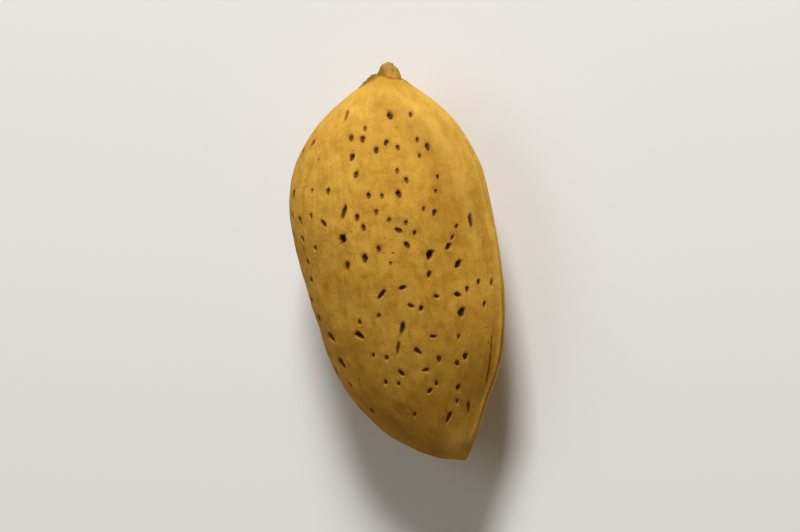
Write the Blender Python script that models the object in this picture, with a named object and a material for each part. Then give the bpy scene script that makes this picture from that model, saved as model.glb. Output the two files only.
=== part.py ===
"""An almond in its hard shell, lying on a broad face.

The shell is one closed body. +X runs from the stem end to the pointed tip, +Y to the keel edge and
+Z up, out of the broad face that shows. The origin is under the middle of the nut, on the surface
that it lies on. Its skin is laid out on a unit sphere, triangulated there, and then moved to the
form of the nut, with its pits, furrows, keel line and stem scar sunk in by formula.
"""
import math
import random
from collections import namedtuple

import bmesh
import bpy
import numpy as np
from mathutils import Vector
from mathutils.geometry import delaunay_2d_cdt

MM = 0.001

# Driving dimensions of the whole nut
LENGTH = 36.0 * MM
BACK_REACH = 11.76 * MM
KEEL_REACH = 6.71 * MM
HALF_THICKNESS = 7.1 * MM
REST_CUT = 0.34 * MM

# Stem scar: the low oval mound where the stalk tore off, most of it to the back side, and on it a
# small flat-topped knob in a hollow collar
KNOB_RISE = 0.42 * MM
KNOB_RADIUS = 1.10 * MM
KNOB_FLAT = 0.70
COLLAR_RADIUS = 1.32 * MM
COLLAR_WIDTH = 0.25 * MM
COLLAR_DEPTH = 0.16 * MM
STALK_RISE = 0.48 * MM
STALK_MIDDLE = -0.80 * MM
STALK_HALF_LENGTH = 2.70 * MM
STALK_HALF_WIDTH = 1.90 * MM
STALK_FLAT = 0.30
STALK_REACH = 6.0 * MM
STEM_HEIGHT = STALK_RISE + KNOB_RISE
BODY_LENGTH = LENGTH - STEM_HEIGHT

# How each edge swells from stem to tip: powers at the two ends, then a slow fill along the way
Swell = namedtuple("Swell", "reach rise fall drop lift")
BACK = Swell(BACK_REACH, 0.74, 0.72, -1.35, 1.15)
KEEL = Swell(KEEL_REACH, 1.045, 1.04, -1.42, 1.17)
THICKNESS = Swell(HALF_THICKNESS, 0.55, 0.82, 0.0, 0.0)

# The keel edge is a little hollow before the tip, which makes a beak of it: share, place and width
BEAK_SHARE = 0.20
BEAK_MIDDLE = 0.90
BEAK_WIDTH = 0.10

# Cross-section: drawn in towards both edges, with a flat band beside the keel that fades to the tip
KEEL_PINCH = 0.10
BACK_PINCH = 0.06
BAND_EDGE = 0.75 * MM
BAND_SLOPE = 1.35
BAND_BLEND = 0.40
BAND_FADE = (0.50, 0.80)
BAND_LEFT_AT_TIP = 0.25

# Slow unevenness of the form: share of the radius, waves along, waves round, start angle
Wave = namedtuple("Wave", "share along around start")
WAVES = (Wave(0.010, 1.3, 2, 1.0), Wave(0.008, 2.1, -3, 0.4), Wave(0.005, 3.4, 5, 2.2))

# The keel line: a fine open seam between two lips, from the stem scar to the tip
SEAM_HALF_WIDTH = 0.30 * MM
SEAM_DEPTH = 0.30 * MM
SEAM_REACH = (0.055, 0.960)
LIP_OFFSET = 0.60 * MM
LIP_WIDTH = 0.30 * MM
LIP_HEIGHT = 0.16 * MM

# Pits of the broad face that shows: places along and across the stem-to-tip line, as seen with the
# nut turned a little to its keel side, and the size class of each
FACE_TURN = math.radians(18.0)
SHOWN_TURNS = (math.radians(2.0), math.radians(165.0))
PIT_SIZES = {
    "large": (0.66 * MM, 0.48 * MM),
    "long": (0.85 * MM, 0.34 * MM),
    "middle": (0.52 * MM, 0.38 * MM),
    "small": (0.42 * MM, 0.32 * MM),
    "streak": (0.75 * MM, 0.26 * MM),
    "tiny": (0.30 * MM, 0.24 * MM),
}
PIT_DEPTH_SHARE = 1.0
PIT_FLOOR = 0.45
FacePit = namedtuple("FacePit", "along across size lean")
FACE_PITS = (
    FacePit(4.0, -4.6, "streak", 5),
    FacePit(4.7, -0.8, "middle", 5),
    FacePit(5.0, 1.0, "small", 30),
    FacePit(5.5, -3.2, "tiny", 5),
    FacePit(5.8, -8.1, "middle", 40),
    FacePit(6.1, -4.6, "small", 0),
    FacePit(6.4, -3.6, "middle", 5),
    FacePit(7.1, -1.6, "small", 20),
    FacePit(7.3, 1.2, "tiny", 20),
    FacePit(7.6, -2.6, "middle", 10),
    FacePit(7.7, -0.7, "small", -5),
    FacePit(7.8, -4.9, "middle", 15),
    FacePit(8.1, 2.0, "middle", 5),
    FacePit(8.8, 1.1, "tiny", 20),
    FacePit(9.4, -4.8, "middle", 25),
    FacePit(9.8, -1.2, "tiny", 10),
    FacePit(10.0, -8.9, "tiny", 5),
    FacePit(10.3, -7.5, "small", 20),
    FacePit(10.7, -0.5, "small", -5),
    FacePit(10.9, 2.3, "small", 20),
    FacePit(11.4, -4.0, "small", 10),
    FacePit(11.7, -2.9, "tiny", 10),
    FacePit(11.8, -1.4, "middle", -10),
    FacePit(12.1, 1.9, "tiny", 15),
    FacePit(12.2, -9.4, "small", 10),
    FacePit(12.4, -6.5, "long", 30),
    FacePit(13.0, -8.4, "middle", -35),
    FacePit(13.0, -3.7, "small", 10),
    FacePit(13.1, -5.4, "small", 10),
    FacePit(13.5, 0.5, "tiny", 10),
    FacePit(13.9, -2.7, "tiny", 10),
    FacePit(14.0, 1.4, "middle", 35),
    FacePit(14.1, -5.0, "small", 10),
    FacePit(14.4, -1.2, "tiny", 10),
    FacePit(14.7, -7.0, "large", 30),
    FacePit(14.9, -2.0, "middle", -60),
    FacePit(15.0, -9.6, "tiny", 25),
    FacePit(15.3, 4.3, "long", 5),
    FacePit(15.4, -0.7, "tiny", 10),
    FacePit(15.5, 3.2, "tiny", 15),
    FacePit(16.2, -4.1, "small", 10),
    FacePit(16.3, -1.5, "middle", -25),
    FacePit(16.4, 2.6, "tiny", 35),
    FacePit(16.8, -5.4, "middle", 15),
    FacePit(17.1, -7.1, "middle", 25),
    FacePit(17.1, 2.1, "middle", 55),
    FacePit(17.5, 0.3, "large", 30),
    FacePit(17.6, -3.3, "tiny", 10),
    FacePit(18.8, 2.6, "middle", 55),
    FacePit(19.2, -0.1, "small", 15),
    FacePit(19.9, -2.7, "small", 80),
    FacePit(20.1, -4.5, "long", 50),
    FacePit(20.7, 4.0, "small", 10),
    FacePit(21.0, 5.2, "tiny", 10),
    FacePit(21.1, 2.9, "small", 10),
    FacePit(21.2, 0.1, "small", -60),
    FacePit(21.4, 2.0, "middle", -55),
    FacePit(21.6, -2.2, "small", -50),
    FacePit(21.9, -5.2, "small", 45),
    FacePit(22.0, -1.4, "small", 30),
    FacePit(22.2, -6.9, "tiny", 20),
    FacePit(22.7, 4.2, "tiny", 10),
    FacePit(23.0, 2.0, "large", 10),
    FacePit(23.3, -7.2, "large", -35),
    FacePit(23.4, -3.3, "long", 25),
    FacePit(24.6, -0.8, "small", -70),
    FacePit(25.1, -4.0, "streak", 25),
    FacePit(25.1, 1.4, "tiny", 5),
    FacePit(25.3, -6.3, "tiny", 25),
    FacePit(25.6, -2.4, "middle", -30),
    FacePit(25.7, -5.2, "small", 20),
    FacePit(26.7, -0.7, "small", 10),
    FacePit(26.9, 1.6, "small", 5),
    FacePit(27.3, -4.2, "middle", -30),
    FacePit(27.4, -2.0, "small", 85),
    FacePit(27.4, 0.8, "small", -25),
    FacePit(27.8, -5.7, "tiny", 30),
    FacePit(28.2, -4.6, "tiny", 25),
    FacePit(28.8, -1.3, "tiny", 10),
    FacePit(29.3, -2.0, "small", 40),
    FacePit(29.5, 0.5, "small", 5),
    FacePit(30.7, 0.2, "tiny", 0),
    FacePit(31.1, -3.7, "tiny", 25),
    FacePit(31.4, 1.1, "streak", -5),
    FacePit(31.9, -0.8, "streak", 30),
)

# The other pits are scattered, most on the broad faces and few at the ends and beside the keel.
# Their likelihood rises over the shares of STEM_EASE, falls over those of TIP_EASE, and rises over the
# heights of FLANK_EASE from its share at the edges.
SCATTER_SEED = 1907
SCATTER_TRIES = 5200
SCATTER_MOST = 165
SCATTER_SIZES = ("large", "middle", "middle", "small", "small", "long")
SCATTER_LEAN = 18.0
SCATTER_NOT_ON = (math.radians(8.0), math.radians(140.0))
SCATTER_GAP = 0.45 * MM
STEM_EASE = (0.08, 0.26)
TIP_EASE = (0.76, 0.93)
FLANK_EASE = (1.5 * MM, 4.5 * MM)
EDGE_LIKELIHOOD = 0.25
STEM_CLEAR = 3.6 * MM
TIP_CLEAR = 3.2 * MM
KEEL_CLEAR = 3.1 * MM
GROOVE_CLEAR = 0.95 * MM
REST_CLEAR = 0.5 * MM

# Furrows: from and to, as shares of the length and angles round from the keel edge by way of the top
Furrow = namedtuple("Furrow", "start start_turn end end_turn sway size")
FURROW_HALF_WIDTH = 0.42 * MM
FURROW_DEPTH = 0.42 * MM
GROOVE_FLOOR = 0.1
LEAST_TAPER = 0.05
FURROWS = (
    Furrow(0.060, -30, 0.400, -17, 1.0, 1.0),
    Furrow(0.100, -50, 0.300, -38, -1.5, 0.9),
    Furrow(0.330, -29, 0.620, -21, 1.5, 0.9),
    Furrow(0.430, -43, 0.740, -33, -1.5, 1.0),
    Furrow(0.140, -64, 0.270, -54, 1.0, 0.7),
    Furrow(0.660, -24, 0.870, -26, 2.0, 0.8),
    Furrow(0.520, -58, 0.660, -52, 1.0, 0.7),
    Furrow(0.700, 21, 0.820, 16, 0.0, 0.6),
    Furrow(0.075, 174, 0.200, 180, 2.0, 1.0),
    Furrow(0.130, 194, 0.360, 189, -2.0, 1.0),
    Furrow(0.420, 186, 0.640, 187, 2.0, 0.9),
    Furrow(0.660, 196, 0.850, 199, -2.0, 0.8),
    Furrow(0.200, 208, 0.330, 206, 1.0, 0.7),
    Furrow(0.110, 224, 0.240, 234, 1.0, 0.8),
    Furrow(0.780, 238, 0.900, 248, 2.0, 0.7),
    Furrow(0.780, -78, 0.890, -72, -2.0, 0.6),
)

# How finely the skin is laid out
SKIN_STEP = 1.15 * MM
LINE_STEP = 1.15 * MM
CLEAR_STEP = 0.66 * MM
PIT_RIM_POINTS = 8
PIT_FLOOR_POINTS = 5
REST_POINTS = 28
STEM_RINGS = ((0.40 * MM, 7), (0.77 * MM, 11), (1.09 * MM, 14), (1.36 * MM, 15), (1.90 * MM, 17))
TIP_RINGS = ((0.40 * MM, 7), (0.95 * MM, 10))
LEAST_RING = 6

# How finely lines and places are searched for: ranges with their sample counts, and steps for slopes
SAMPLES_ROUND = 240
SAMPLES_ALONG = 400
MERIDIANS = np.radians((0.0, 60.0, 120.0, 180.0, 240.0, 300.0))
MERIDIAN_SAMPLES = 2001
LINE_SAMPLES = 60
SEAM_SAMPLES = 120
POLE_REACH = 0.2
REST_SHARES = (0.2, 0.7, 101)
REST_TURNS = (math.radians(220.0), math.radians(320.0), 201)
REST_REACHES = (0.3 * MM, 9.0 * MM, 400)
REST_FADE = (0.05 * MM, 0.5 * MM)
SLOPE_STEP_T = 1e-4
SLOPE_STEP_TURN = 1e-3
SAME_PLACE = 1e-7

SHELL_COLOUR = (0.45, 0.25, 0.06, 1.0)
SHELL_ROUGHNESS = 0.85
SMOOTH_ANGLE = math.radians(32.0)


def smoothstep(low, high, value):
    """Eases from 0 at low to 1 at high."""
    share = np.clip((value - low) / (high - low), 0.0, 1.0)
    return share * share * (3.0 - 2.0 * share)


def smooth_min(first, second, blend):
    """Takes the lesser of two heights and rounds the crease where they meet."""
    near = np.maximum(blend - np.abs(first - second), 0.0) / blend
    return np.minimum(first, second) - near ** 3 * blend / 6.0


def bell(offset, width):
    """Gives 1 in the middle, falling off to both sides over the width."""
    return np.exp(-(offset / width) ** 2)


def swell_share(t, edge):
    """Gives an edge's formula at the share t of the body's length, before its reach is set."""
    return t ** edge.rise * (1.0 - t) ** edge.fall * (1.0 + edge.drop * t + edge.lift * t * t)


SWELL_PEAKS = {}
for swell_edge in (BACK, KEEL, THICKNESS):
    SWELL_PEAKS[swell_edge] = float(swell_share(np.linspace(0.0, 1.0, SAMPLES_ALONG + 1), swell_edge).max())


def swell(t, edge):
    """Gives an edge's distance from the stem-to-tip line at the share t of the body's length."""
    return edge.reach * swell_share(np.clip(t, 0.0, 1.0), edge) / SWELL_PEAKS[edge]


def form(t, turn):
    """Gives points of the smooth nut, with the stem-to-tip line on the X axis and the stem at 0.

    t is the share of the body's length, and turn the angle round from the keel edge by way of the top.
    """
    t, turn = np.broadcast_arrays(np.asarray(t, float), np.asarray(turn, float))
    back, thick = swell(t, BACK), swell(t, THICKNESS)
    keel = swell(t, KEEL) * (1.0 - BEAK_SHARE * bell(t - BEAK_MIDDLE, BEAK_WIDTH))
    half, middle = (keel + back) / 2.0, (keel - back) / 2.0
    side, up = np.cos(turn), np.sin(turn)
    pinch = KEEL_PINCH * np.maximum(side, 0.0) ** 2 + BACK_PINCH * np.maximum(-side, 0.0) ** 2
    dome = thick * np.abs(up) * (1.0 - pinch)
    inset = half * (1.0 - side)
    banded = smooth_min(dome, BAND_EDGE + BAND_SLOPE * inset, BAND_EDGE + BAND_BLEND * inset)
    strength = 1.0 - (1.0 - BAND_LEFT_AT_TIP) * smoothstep(*BAND_FADE, t)
    height = np.maximum(dome + (banded - dome) * strength, 0.0)
    uneven = 1.0
    for wave in WAVES:
        angle = 2.0 * math.pi * wave.along * t + wave.around * turn + wave.start
        uneven = uneven + wave.share * np.sin(math.pi * t) * np.sin(angle)
    x = STEM_HEIGHT + BODY_LENGTH * t
    y = middle + half * side * uneven
    z = np.sign(up) * height * uneven
    return np.stack([x, y, z], axis=-1)


def sphere_point(t, turn):
    """Gives the place on the unit sphere that stands for the share t and the angle turn."""
    radius = 2.0 * math.sqrt(max(t * (1.0 - t), 0.0))
    return Vector((2.0 * t - 1.0, radius * math.cos(turn), radius * math.sin(turn)))


def shape_at(t, turn):
    """Gives the point at t and turn, and how it moves with each of the two."""
    step_t, step_turn = SLOPE_STEP_T, SLOPE_STEP_TURN
    ends = form([t, t + step_t, t - step_t, t, t], [turn, turn, turn, turn + step_turn, turn - step_turn])
    return ends[0], (ends[1] - ends[2]) / (2.0 * step_t), (ends[3] - ends[4]) / (2.0 * step_turn)


def skin_ways(by_t, by_turn):
    """Gives the two ways on the skin at a place, along the nut and round it, each of length 1."""
    round_way = by_turn / np.linalg.norm(by_turn)
    long_way = by_t - round_way * by_t.dot(round_way)
    return long_way / np.linalg.norm(long_way), round_way


def moved(place, slopes, way):
    """Moves from a place, given as t and turn, by a small way on the skin."""
    change, *_ = np.linalg.lstsq(np.stack(slopes, axis=1), way, rcond=None)
    return place[0] + change[0], place[1] + change[1]


def shifted(t, turn, along, across):
    """Moves from t and turn by two distances measured on the skin, along the nut and round it."""
    _, *slopes = shape_at(t, turn)
    long_way, round_way = skin_ways(*slopes)
    return moved((t, turn), slopes, along * long_way + across * round_way)


def on_shown_face(along, across):
    """Finds t and turn of a place on the shown face, seen with the nut turned to its keel side."""
    t = (along - STEM_HEIGHT) / BODY_LENGTH
    turns = np.linspace(*SHOWN_TURNS, SAMPLES_ROUND)
    points = form(t, turns)
    seen = points[:, 1] * math.cos(FACE_TURN) - points[:, 2] * math.sin(FACE_TURN)
    return t, float(turns[np.abs(seen - across).argmin()])


def at_distance(pole, distance, turn):
    """Finds the t on the meridian turn that lies at a distance from the stem pole, 0, or the tip, 1."""
    t = np.linspace(0.0, POLE_REACH, SAMPLES_ALONG)
    if pole == 1:
        t = 1.0 - t
    reach = np.linalg.norm(form(t, turn) - form(float(pole), turn), axis=1)
    return float(np.interp(distance, reach, t))


class Rest:
    """The flat spot that the nut lies on, cut across the lowest place of its underside."""

    def __init__(self):
        t, turn = np.meshgrid(np.linspace(*REST_SHARES), np.linspace(*REST_TURNS))
        heights = form(t, turn)[..., 2]
        lowest = np.unravel_index(heights.argmin(), heights.shape)
        self.t, self.turn = float(t[lowest]), float(turn[lowest])
        self.floor = float(heights[lowest]) + REST_CUT

    def holds(self, point):
        """Tells whether a point of the smooth nut is cut away by the flat spot."""
        return point[2] < self.floor

    def rim(self):
        """Gives t and turn of the points round the flat spot's edge."""
        distances = np.linspace(*REST_REACHES)
        for step in range(REST_POINTS):
            angle = 2.0 * math.pi * step / REST_POINTS
            far_t, far_turn = shifted(self.t, self.turn, MM * math.cos(angle), MM * math.sin(angle))
            t = self.t + (far_t - self.t) * distances / MM
            turn = self.turn + (far_turn - self.turn) * distances / MM
            share = np.interp(self.floor, form(t, turn)[:, 2], distances) / MM
            yield self.t + (far_t - self.t) * share, self.turn + (far_turn - self.turn) * share


class Pit:
    """A pit in the shell: its middle, its two half sizes and the way that it leans."""

    def __init__(self, t, turn, half_length, half_width, lean):
        self.t, self.turn = t, turn
        self.half_length, self.half_width, self.lean = half_length, half_width, lean
        self.depth = PIT_DEPTH_SHARE * half_width
        self.middle, *slopes = shape_at(t, turn)
        long_way, round_way = skin_ways(*slopes)
        self.length_way = long_way * math.cos(lean) + round_way * math.sin(lean)
        self.width_way = round_way * math.cos(lean) - long_way * math.sin(lean)

    def ring(self, share, count):
        """Gives t and turn of points round the pit, at a share of its half sizes."""
        for step in range(count):
            angle = 2.0 * math.pi * (step + 0.5) / count
            along = share * self.half_length * math.cos(angle)
            across = share * self.half_width * math.sin(angle)
            cos_lean, sin_lean = math.cos(self.lean), math.sin(self.lean)
            yield shifted(self.t, self.turn, along * cos_lean - across * sin_lean,
                          along * sin_lean + across * cos_lean)

    def depths(self, points):
        """Gives how deep this pit is at each of the points."""
        away = points - self.middle
        along = away @ self.length_way / self.half_length
        across = away @ self.width_way / self.half_width
        aside = np.linalg.norm(away, axis=1) > 2.0 * self.half_length
        share = np.where(aside, 2.0, np.hypot(along, across))
        return self.depth * (1.0 - smoothstep(PIT_FLOOR, 1.0, share))


class Groove:
    """A furrow or seam along a line of points, narrowing and rising at both ends."""

    def __init__(self, line, half_width, depth):
        self.line = line
        self.half_width, self.depth = half_width, depth
        self.points = form([place[0] for place in line], [place[1] for place in line])
        self.shares = np.linspace(0.0, 1.0, len(line))
        self.taper = np.sqrt(np.sin(math.pi * self.shares).clip(0.0))

    def bank(self, side):
        """Gives t and turn of the bank's points on one side, 1 or -1, between the two ends."""
        ways = np.gradient(self.points, axis=0)
        for place, way, taper in list(zip(self.line, ways, self.taper))[1:-1]:
            _, by_t, by_turn = shape_at(*place)
            normal = np.cross(by_turn, by_t)
            out = np.cross(way, normal)
            out *= side * self.half_width * taper / np.linalg.norm(out)
            yield moved(place, (by_t, by_turn), out)

    def depths(self, points):
        """Gives how deep this groove is at each of the points."""
        deepest = np.zeros(len(points))
        pieces = zip(self.points[:-1], self.points[1:], self.taper[:-1], self.taper[1:])
        for start, end, first, last in pieces:
            way = end - start
            share = ((points - start) @ way / way.dot(way)).clip(0.0, 1.0)
            gap = np.linalg.norm(points - start - share[:, None] * way, axis=1)
            taper = np.maximum(first + (last - first) * share, LEAST_TAPER)
            bottom = smoothstep(GROOVE_FLOOR, 1.0, gap / (self.half_width * taper))
            depth = self.depth * taper * (1.0 - bottom)
            deepest = np.maximum(deepest, depth)
        return deepest


def line_between(start, end, sway=0.0):
    """Gives t and turn along a line on the skin, bent aside by sway degrees, in even steps."""
    shares = np.linspace(0.0, 1.0, LINE_SAMPLES)
    t = start[0] + (end[0] - start[0]) * shares
    turn = start[1] + (end[1] - start[1]) * shares + math.radians(sway) * np.sin(2.0 * math.pi * shares)
    reach = np.concatenate([[0.0], np.cumsum(np.linalg.norm(np.diff(form(t, turn), axis=0), axis=1))])
    even = np.linspace(0.0, reach[-1], max(4, round(reach[-1] / LINE_STEP) + 1))
    return list(zip(np.interp(even, reach, t), np.interp(even, reach, turn)))


def furrow_grooves():
    """Makes the furrows of the keel's flanks, the back and the two ends."""
    for furrow in FURROWS:
        start = (furrow.start, math.radians(furrow.start_turn))
        end = (furrow.end, math.radians(furrow.end_turn))
        line = line_between(start, end, furrow.sway)
        yield Groove(line, FURROW_HALF_WIDTH * furrow.size, FURROW_DEPTH * furrow.size)


def pit_likelihood(t, point):
    """Gives how likely a scattered pit is at a place: most on the broad faces, few at the ends."""
    ends = smoothstep(*STEM_EASE, t) * (1.0 - smoothstep(*TIP_EASE, t))
    flank = smoothstep(*FLANK_EASE, abs(point[2]))
    girth = (swell(t, BACK) + swell(t, KEEL)) / (BACK_REACH + KEEL_REACH)
    return float(ends * (EDGE_LIKELIHOOD + (1.0 - EDGE_LIKELIHOOD) * flank) * girth)


def all_pits(grooves, rest):
    """Makes the face's own pits, then scatters the others over the rest where there is room."""
    pits = []
    for mark in FACE_PITS:
        t, turn = on_shown_face(mark.along * MM, mark.across * MM)
        pits.append(Pit(t, turn, *PIT_SIZES[mark.size], math.radians(mark.lean)))
    draw = random.Random(SCATTER_SEED)
    groove_points = np.concatenate([groove.points for groove in grooves])
    stem, tip = form(0.0, 0.0), form(1.0, 0.0)
    rim = form(*np.array(list(rest.rim())).T)
    scattered = 0
    for _ in range(SCATTER_TRIES):
        t, turn = draw.random(), draw.uniform(0.0, 2.0 * math.pi)
        size = PIT_SIZES[draw.choice(SCATTER_SIZES)]
        lean, luck = math.radians(draw.gauss(0.0, SCATTER_LEAN)), draw.random()
        point = form(t, turn)
        if SCATTER_NOT_ON[0] < turn < SCATTER_NOT_ON[1] or scattered >= SCATTER_MOST:
            continue
        if luck > pit_likelihood(t, point):
            continue
        if turn < math.pi and point[1] > swell(t, KEEL) - KEEL_CLEAR:
            continue
        if np.linalg.norm(point - stem) < STEM_CLEAR or np.linalg.norm(point - tip) < TIP_CLEAR:
            continue
        reach = size[0]
        if np.linalg.norm(groove_points - point, axis=1).min() < reach + GROOVE_CLEAR:
            continue
        if rest.holds(point) or np.linalg.norm(rim - point, axis=1).min() < reach + REST_CLEAR:
            continue
        if any(np.linalg.norm(pit.middle - point) < pit.half_length + reach + SCATTER_GAP for pit in pits):
            continue
        pits.append(Pit(t, turn, *size, lean))
        scattered += 1
    return pits


class Skin:
    """The places of the skin's corners and the lines that its edges must follow."""

    def __init__(self):
        self.places = []
        self.lines = set()

    def add(self, t, turn):
        """Adds one corner and gives its number."""
        self.places.append((t, turn))
        return len(self.places) - 1

    def add_line(self, places, closed=False):
        """Adds corners along a line that edges follow, and gives their numbers."""
        numbers = [self.add(*place) for place in places]
        self.join(numbers, closed)
        return numbers

    def join(self, numbers, closed=False):
        """Makes edges follow the corners in order."""
        followers = numbers[1:] + numbers[:1] if closed else numbers[1:]
        for number, follower in zip(numbers, followers):
            self.lines.add((min(number, follower), max(number, follower)))

    def points(self):
        """Gives the smooth nut's points at all the corners so far."""
        return form(*np.array(self.places).T)

    def fill(self, rest):
        """Adds staggered rings of corners wherever no feature has taken the room."""
        t = np.linspace(0.0, 1.0, MERIDIAN_SAMPLES)
        meridians = [form(t, turn) for turn in MERIDIANS]
        steps = np.max([np.linalg.norm(np.diff(line, axis=0), axis=1) for line in meridians], axis=0)
        reach = np.concatenate([[0.0], np.cumsum(steps)])
        rings = np.interp(np.linspace(0.0, reach[-1], round(reach[-1] / SKIN_STEP) + 1), reach, t)
        taken = self.points()
        turns = np.linspace(0.0, 2.0 * math.pi, SAMPLES_ROUND + 1)
        for number, station in enumerate(rings[1:-1]):
            ring = form(station, turns)
            round_reach = np.concatenate([[0.0], np.cumsum(np.linalg.norm(np.diff(ring, axis=0), axis=1))])
            count = max(LEAST_RING, round(round_reach[-1] / SKIN_STEP))
            for step in range(count):
                share = (step + 0.5 * (number % 2)) / count
                turn = float(np.interp(share * round_reach[-1], round_reach, turns))
                point = form(station, turn)
                if not rest.holds(point) and np.linalg.norm(taken - point, axis=1).min() > CLEAR_STEP:
                    self.add(float(station), turn)


def lay_out(skin, rest, grooves, pits):
    """Places the corners of the flat spot, both ends, the keel, the furrows, the pits and the rest."""
    rim = skin.add_line(rest.rim(), closed=True)
    skin.add(0.0, 0.0)
    skin.add(1.0, 0.0)
    for pole, rings in ((0, STEM_RINGS), (1, TIP_RINGS)):
        for distance, count in rings:
            turns = [2.0 * math.pi * (step + 0.5) / count for step in range(count)]
            skin.add_line([(at_distance(pole, distance, turn), turn) for turn in turns], closed=True)
    for groove in grooves:
        middle = skin.add_line(groove.line)
        for side in (1, -1):
            bank = [skin.add(*place) for place in groove.bank(side)]
            skin.join([middle[0]] + bank + [middle[-1]])
    for pit in pits:
        skin.add_line(pit.ring(1.0, PIT_RIM_POINTS), closed=True)
        skin.add_line(pit.ring(PIT_FLOOR, PIT_FLOOR_POINTS), closed=True)
    skin.fill(rest)
    return rim


def flatten_map(skin, rest):
    """Maps the sphere to a plane from the flat spot's middle, so that the flat spot is its rim."""
    centre = sphere_point(rest.t, rest.turn)
    first = centre.orthogonal().normalized()
    second = centre.cross(first)
    flat = []
    for place in skin.places:
        point = sphere_point(*place)
        flat.append(Vector((point.dot(first), point.dot(second))) / (1.0 - point.dot(centre)))
    return flat


def triangulate(skin, rest, rim):
    """Triangulates the skin and gives its faces as corner numbers, the flat spot's face among them."""
    flat = flatten_map(skin, rest)
    twice_area = sum(flat[a].cross(flat[b]) for a, b in zip(rim, rim[1:] + rim[:1]))
    outline = rim if twice_area > 0.0 else rim[::-1]
    corners, _, faces, sources, _, _ = delaunay_2d_cdt(flat, sorted(skin.lines), [outline], 1, SAME_PLACE)
    if len(corners) != len(flat):
        raise ValueError("two lines of the skin cross: %d corners became %d" % (len(flat), len(corners)))
    number_of = [source[0] for source in sources]
    return [[number_of[corner] for corner in face] for face in faces] + [outline]


def relief(points, grooves, seam, pits, rest):
    """Gives how far each point of the smooth nut is sunk in: pits, furrows, keel seam and stem collar."""
    depth = np.zeros(len(points))
    for mark in grooves + pits:
        depth = np.maximum(depth, mark.depths(points))
    line = form(np.linspace(*SEAM_REACH, SEAM_SAMPLES), 0.0)
    gaps = np.linalg.norm(points[:, None, :] - line[None, :, :], axis=2).min(axis=1)
    depth = np.maximum(depth, seam.depths(points))
    depth = depth - LIP_HEIGHT * bell(gaps - LIP_OFFSET, LIP_WIDTH)
    from_stem = np.linalg.norm(points - form(0.0, 0.0), axis=1)
    collar = COLLAR_DEPTH * bell(from_stem - COLLAR_RADIUS, COLLAR_WIDTH)
    return depth * smoothstep(*REST_FADE, points[:, 2] - rest.floor) + collar


def stem_rise(points):
    """Gives how far each point is drawn out along -X into the torn stalk's mound and its knob."""
    from_stem = np.linalg.norm(points - form(0.0, 0.0), axis=1)
    knob = KNOB_RISE * (1.0 - smoothstep(KNOB_FLAT, 1.0, from_stem / KNOB_RADIUS))
    out = np.hypot((points[:, 1] - STALK_MIDDLE) / STALK_HALF_LENGTH, points[:, 2] / STALK_HALF_WIDTH)
    stalk = STALK_RISE * (1.0 - smoothstep(STALK_FLAT, 1.0, out))
    return knob + stalk * (from_stem < STALK_REACH)


def build_mesh():
    """Builds the shell's closed mesh, centred over the origin with its flat spot on the ground."""
    rest = Rest()
    grooves = list(furrow_grooves())
    seam = Groove(line_between((SEAM_REACH[0], 0.0), (SEAM_REACH[1], 0.0)), SEAM_HALF_WIDTH, SEAM_DEPTH)
    pits = all_pits(grooves + [seam], rest)
    skin = Skin()
    rim = lay_out(skin, rest, grooves + [seam], pits)
    faces = triangulate(skin, rest, rim)

    shape = bmesh.new()
    smooth_points = skin.points()
    smooth_points[rim, 2] = rest.floor
    corners = [shape.verts.new(point) for point in smooth_points]
    for face in faces:
        shape.faces.new([corners[number] for number in face])
    bmesh.ops.recalc_face_normals(shape, faces=shape.faces[:])
    shape.verts.index_update()
    free_edges = []
    for edge in shape.edges:
        ends = tuple(sorted(corner.index for corner in edge.verts))
        if ends not in skin.lines:
            free_edges.append(edge)
    triangles = [face for face in shape.faces if len(face.verts) == 3]
    bmesh.ops.beautify_fill(shape, faces=triangles, edges=free_edges, method="AREA")
    shape.normal_update()

    normals = np.array([corner.normal for corner in corners])
    points = smooth_points - normals * relief(smooth_points, grooves, seam, pits, rest)[:, None]
    points[:, 0] -= stem_rise(smooth_points)
    points[:, 2] = np.maximum(points[:, 2], rest.floor)
    points[rim, 2] = rest.floor
    low, high = points.min(axis=0), points.max(axis=0)
    points -= np.array([(low[0] + high[0]) / 2.0, (low[1] + high[1]) / 2.0, rest.floor])
    for corner, point in zip(corners, points):
        corner.co = point
    mesh = bpy.data.meshes.new("almond")
    shape.to_mesh(mesh)
    shape.free()
    return mesh


def shell_material():
    """Makes the dry, golden brown finish of the shell."""
    material = bpy.data.materials.new("almond shell")
    material.use_nodes = True
    shader = material.node_tree.nodes["Principled BSDF"]
    shader.inputs["Base Color"].default_value = SHELL_COLOUR
    shader.inputs["Roughness"].default_value = SHELL_ROUGHNESS
    shader.inputs["Metallic"].default_value = 0.0
    return material


def main():
    """Clears the scene and builds the almond in a collection of its own."""
    for old in list(bpy.data.objects):
        bpy.data.objects.remove(old, do_unlink=True)
    collection = bpy.data.collections.new("almond")
    bpy.context.scene.collection.children.link(collection)
    mesh = build_mesh()
    mesh.materials.append(shell_material())
    mesh.shade_smooth()
    mesh.set_sharp_from_angle(angle=SMOOTH_ANGLE)
    collection.objects.link(bpy.data.objects.new("almond", mesh))


main()
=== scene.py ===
"""The looks of an almond in its hard shell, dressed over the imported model.

The shell is made again, finer, by Geometry Nodes from the same rule as the solid: a closed grid is
moved to the form of the nut, and its pits, furrows, keel seam and stem scar are sunk in. What the
nodes know of each point (how deep in a pit, how near the seam, which way the fibres run) is kept as
attributes, and the shell's material reads them.
"""
import logging
import math
import random
from dataclasses import dataclass, replace
from enum import Enum
from typing import Any, Iterator, NamedTuple

import bmesh
import bpy
import numpy as np
from mathutils import Matrix, Vector
from mathutils.kdtree import KDTree


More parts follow.
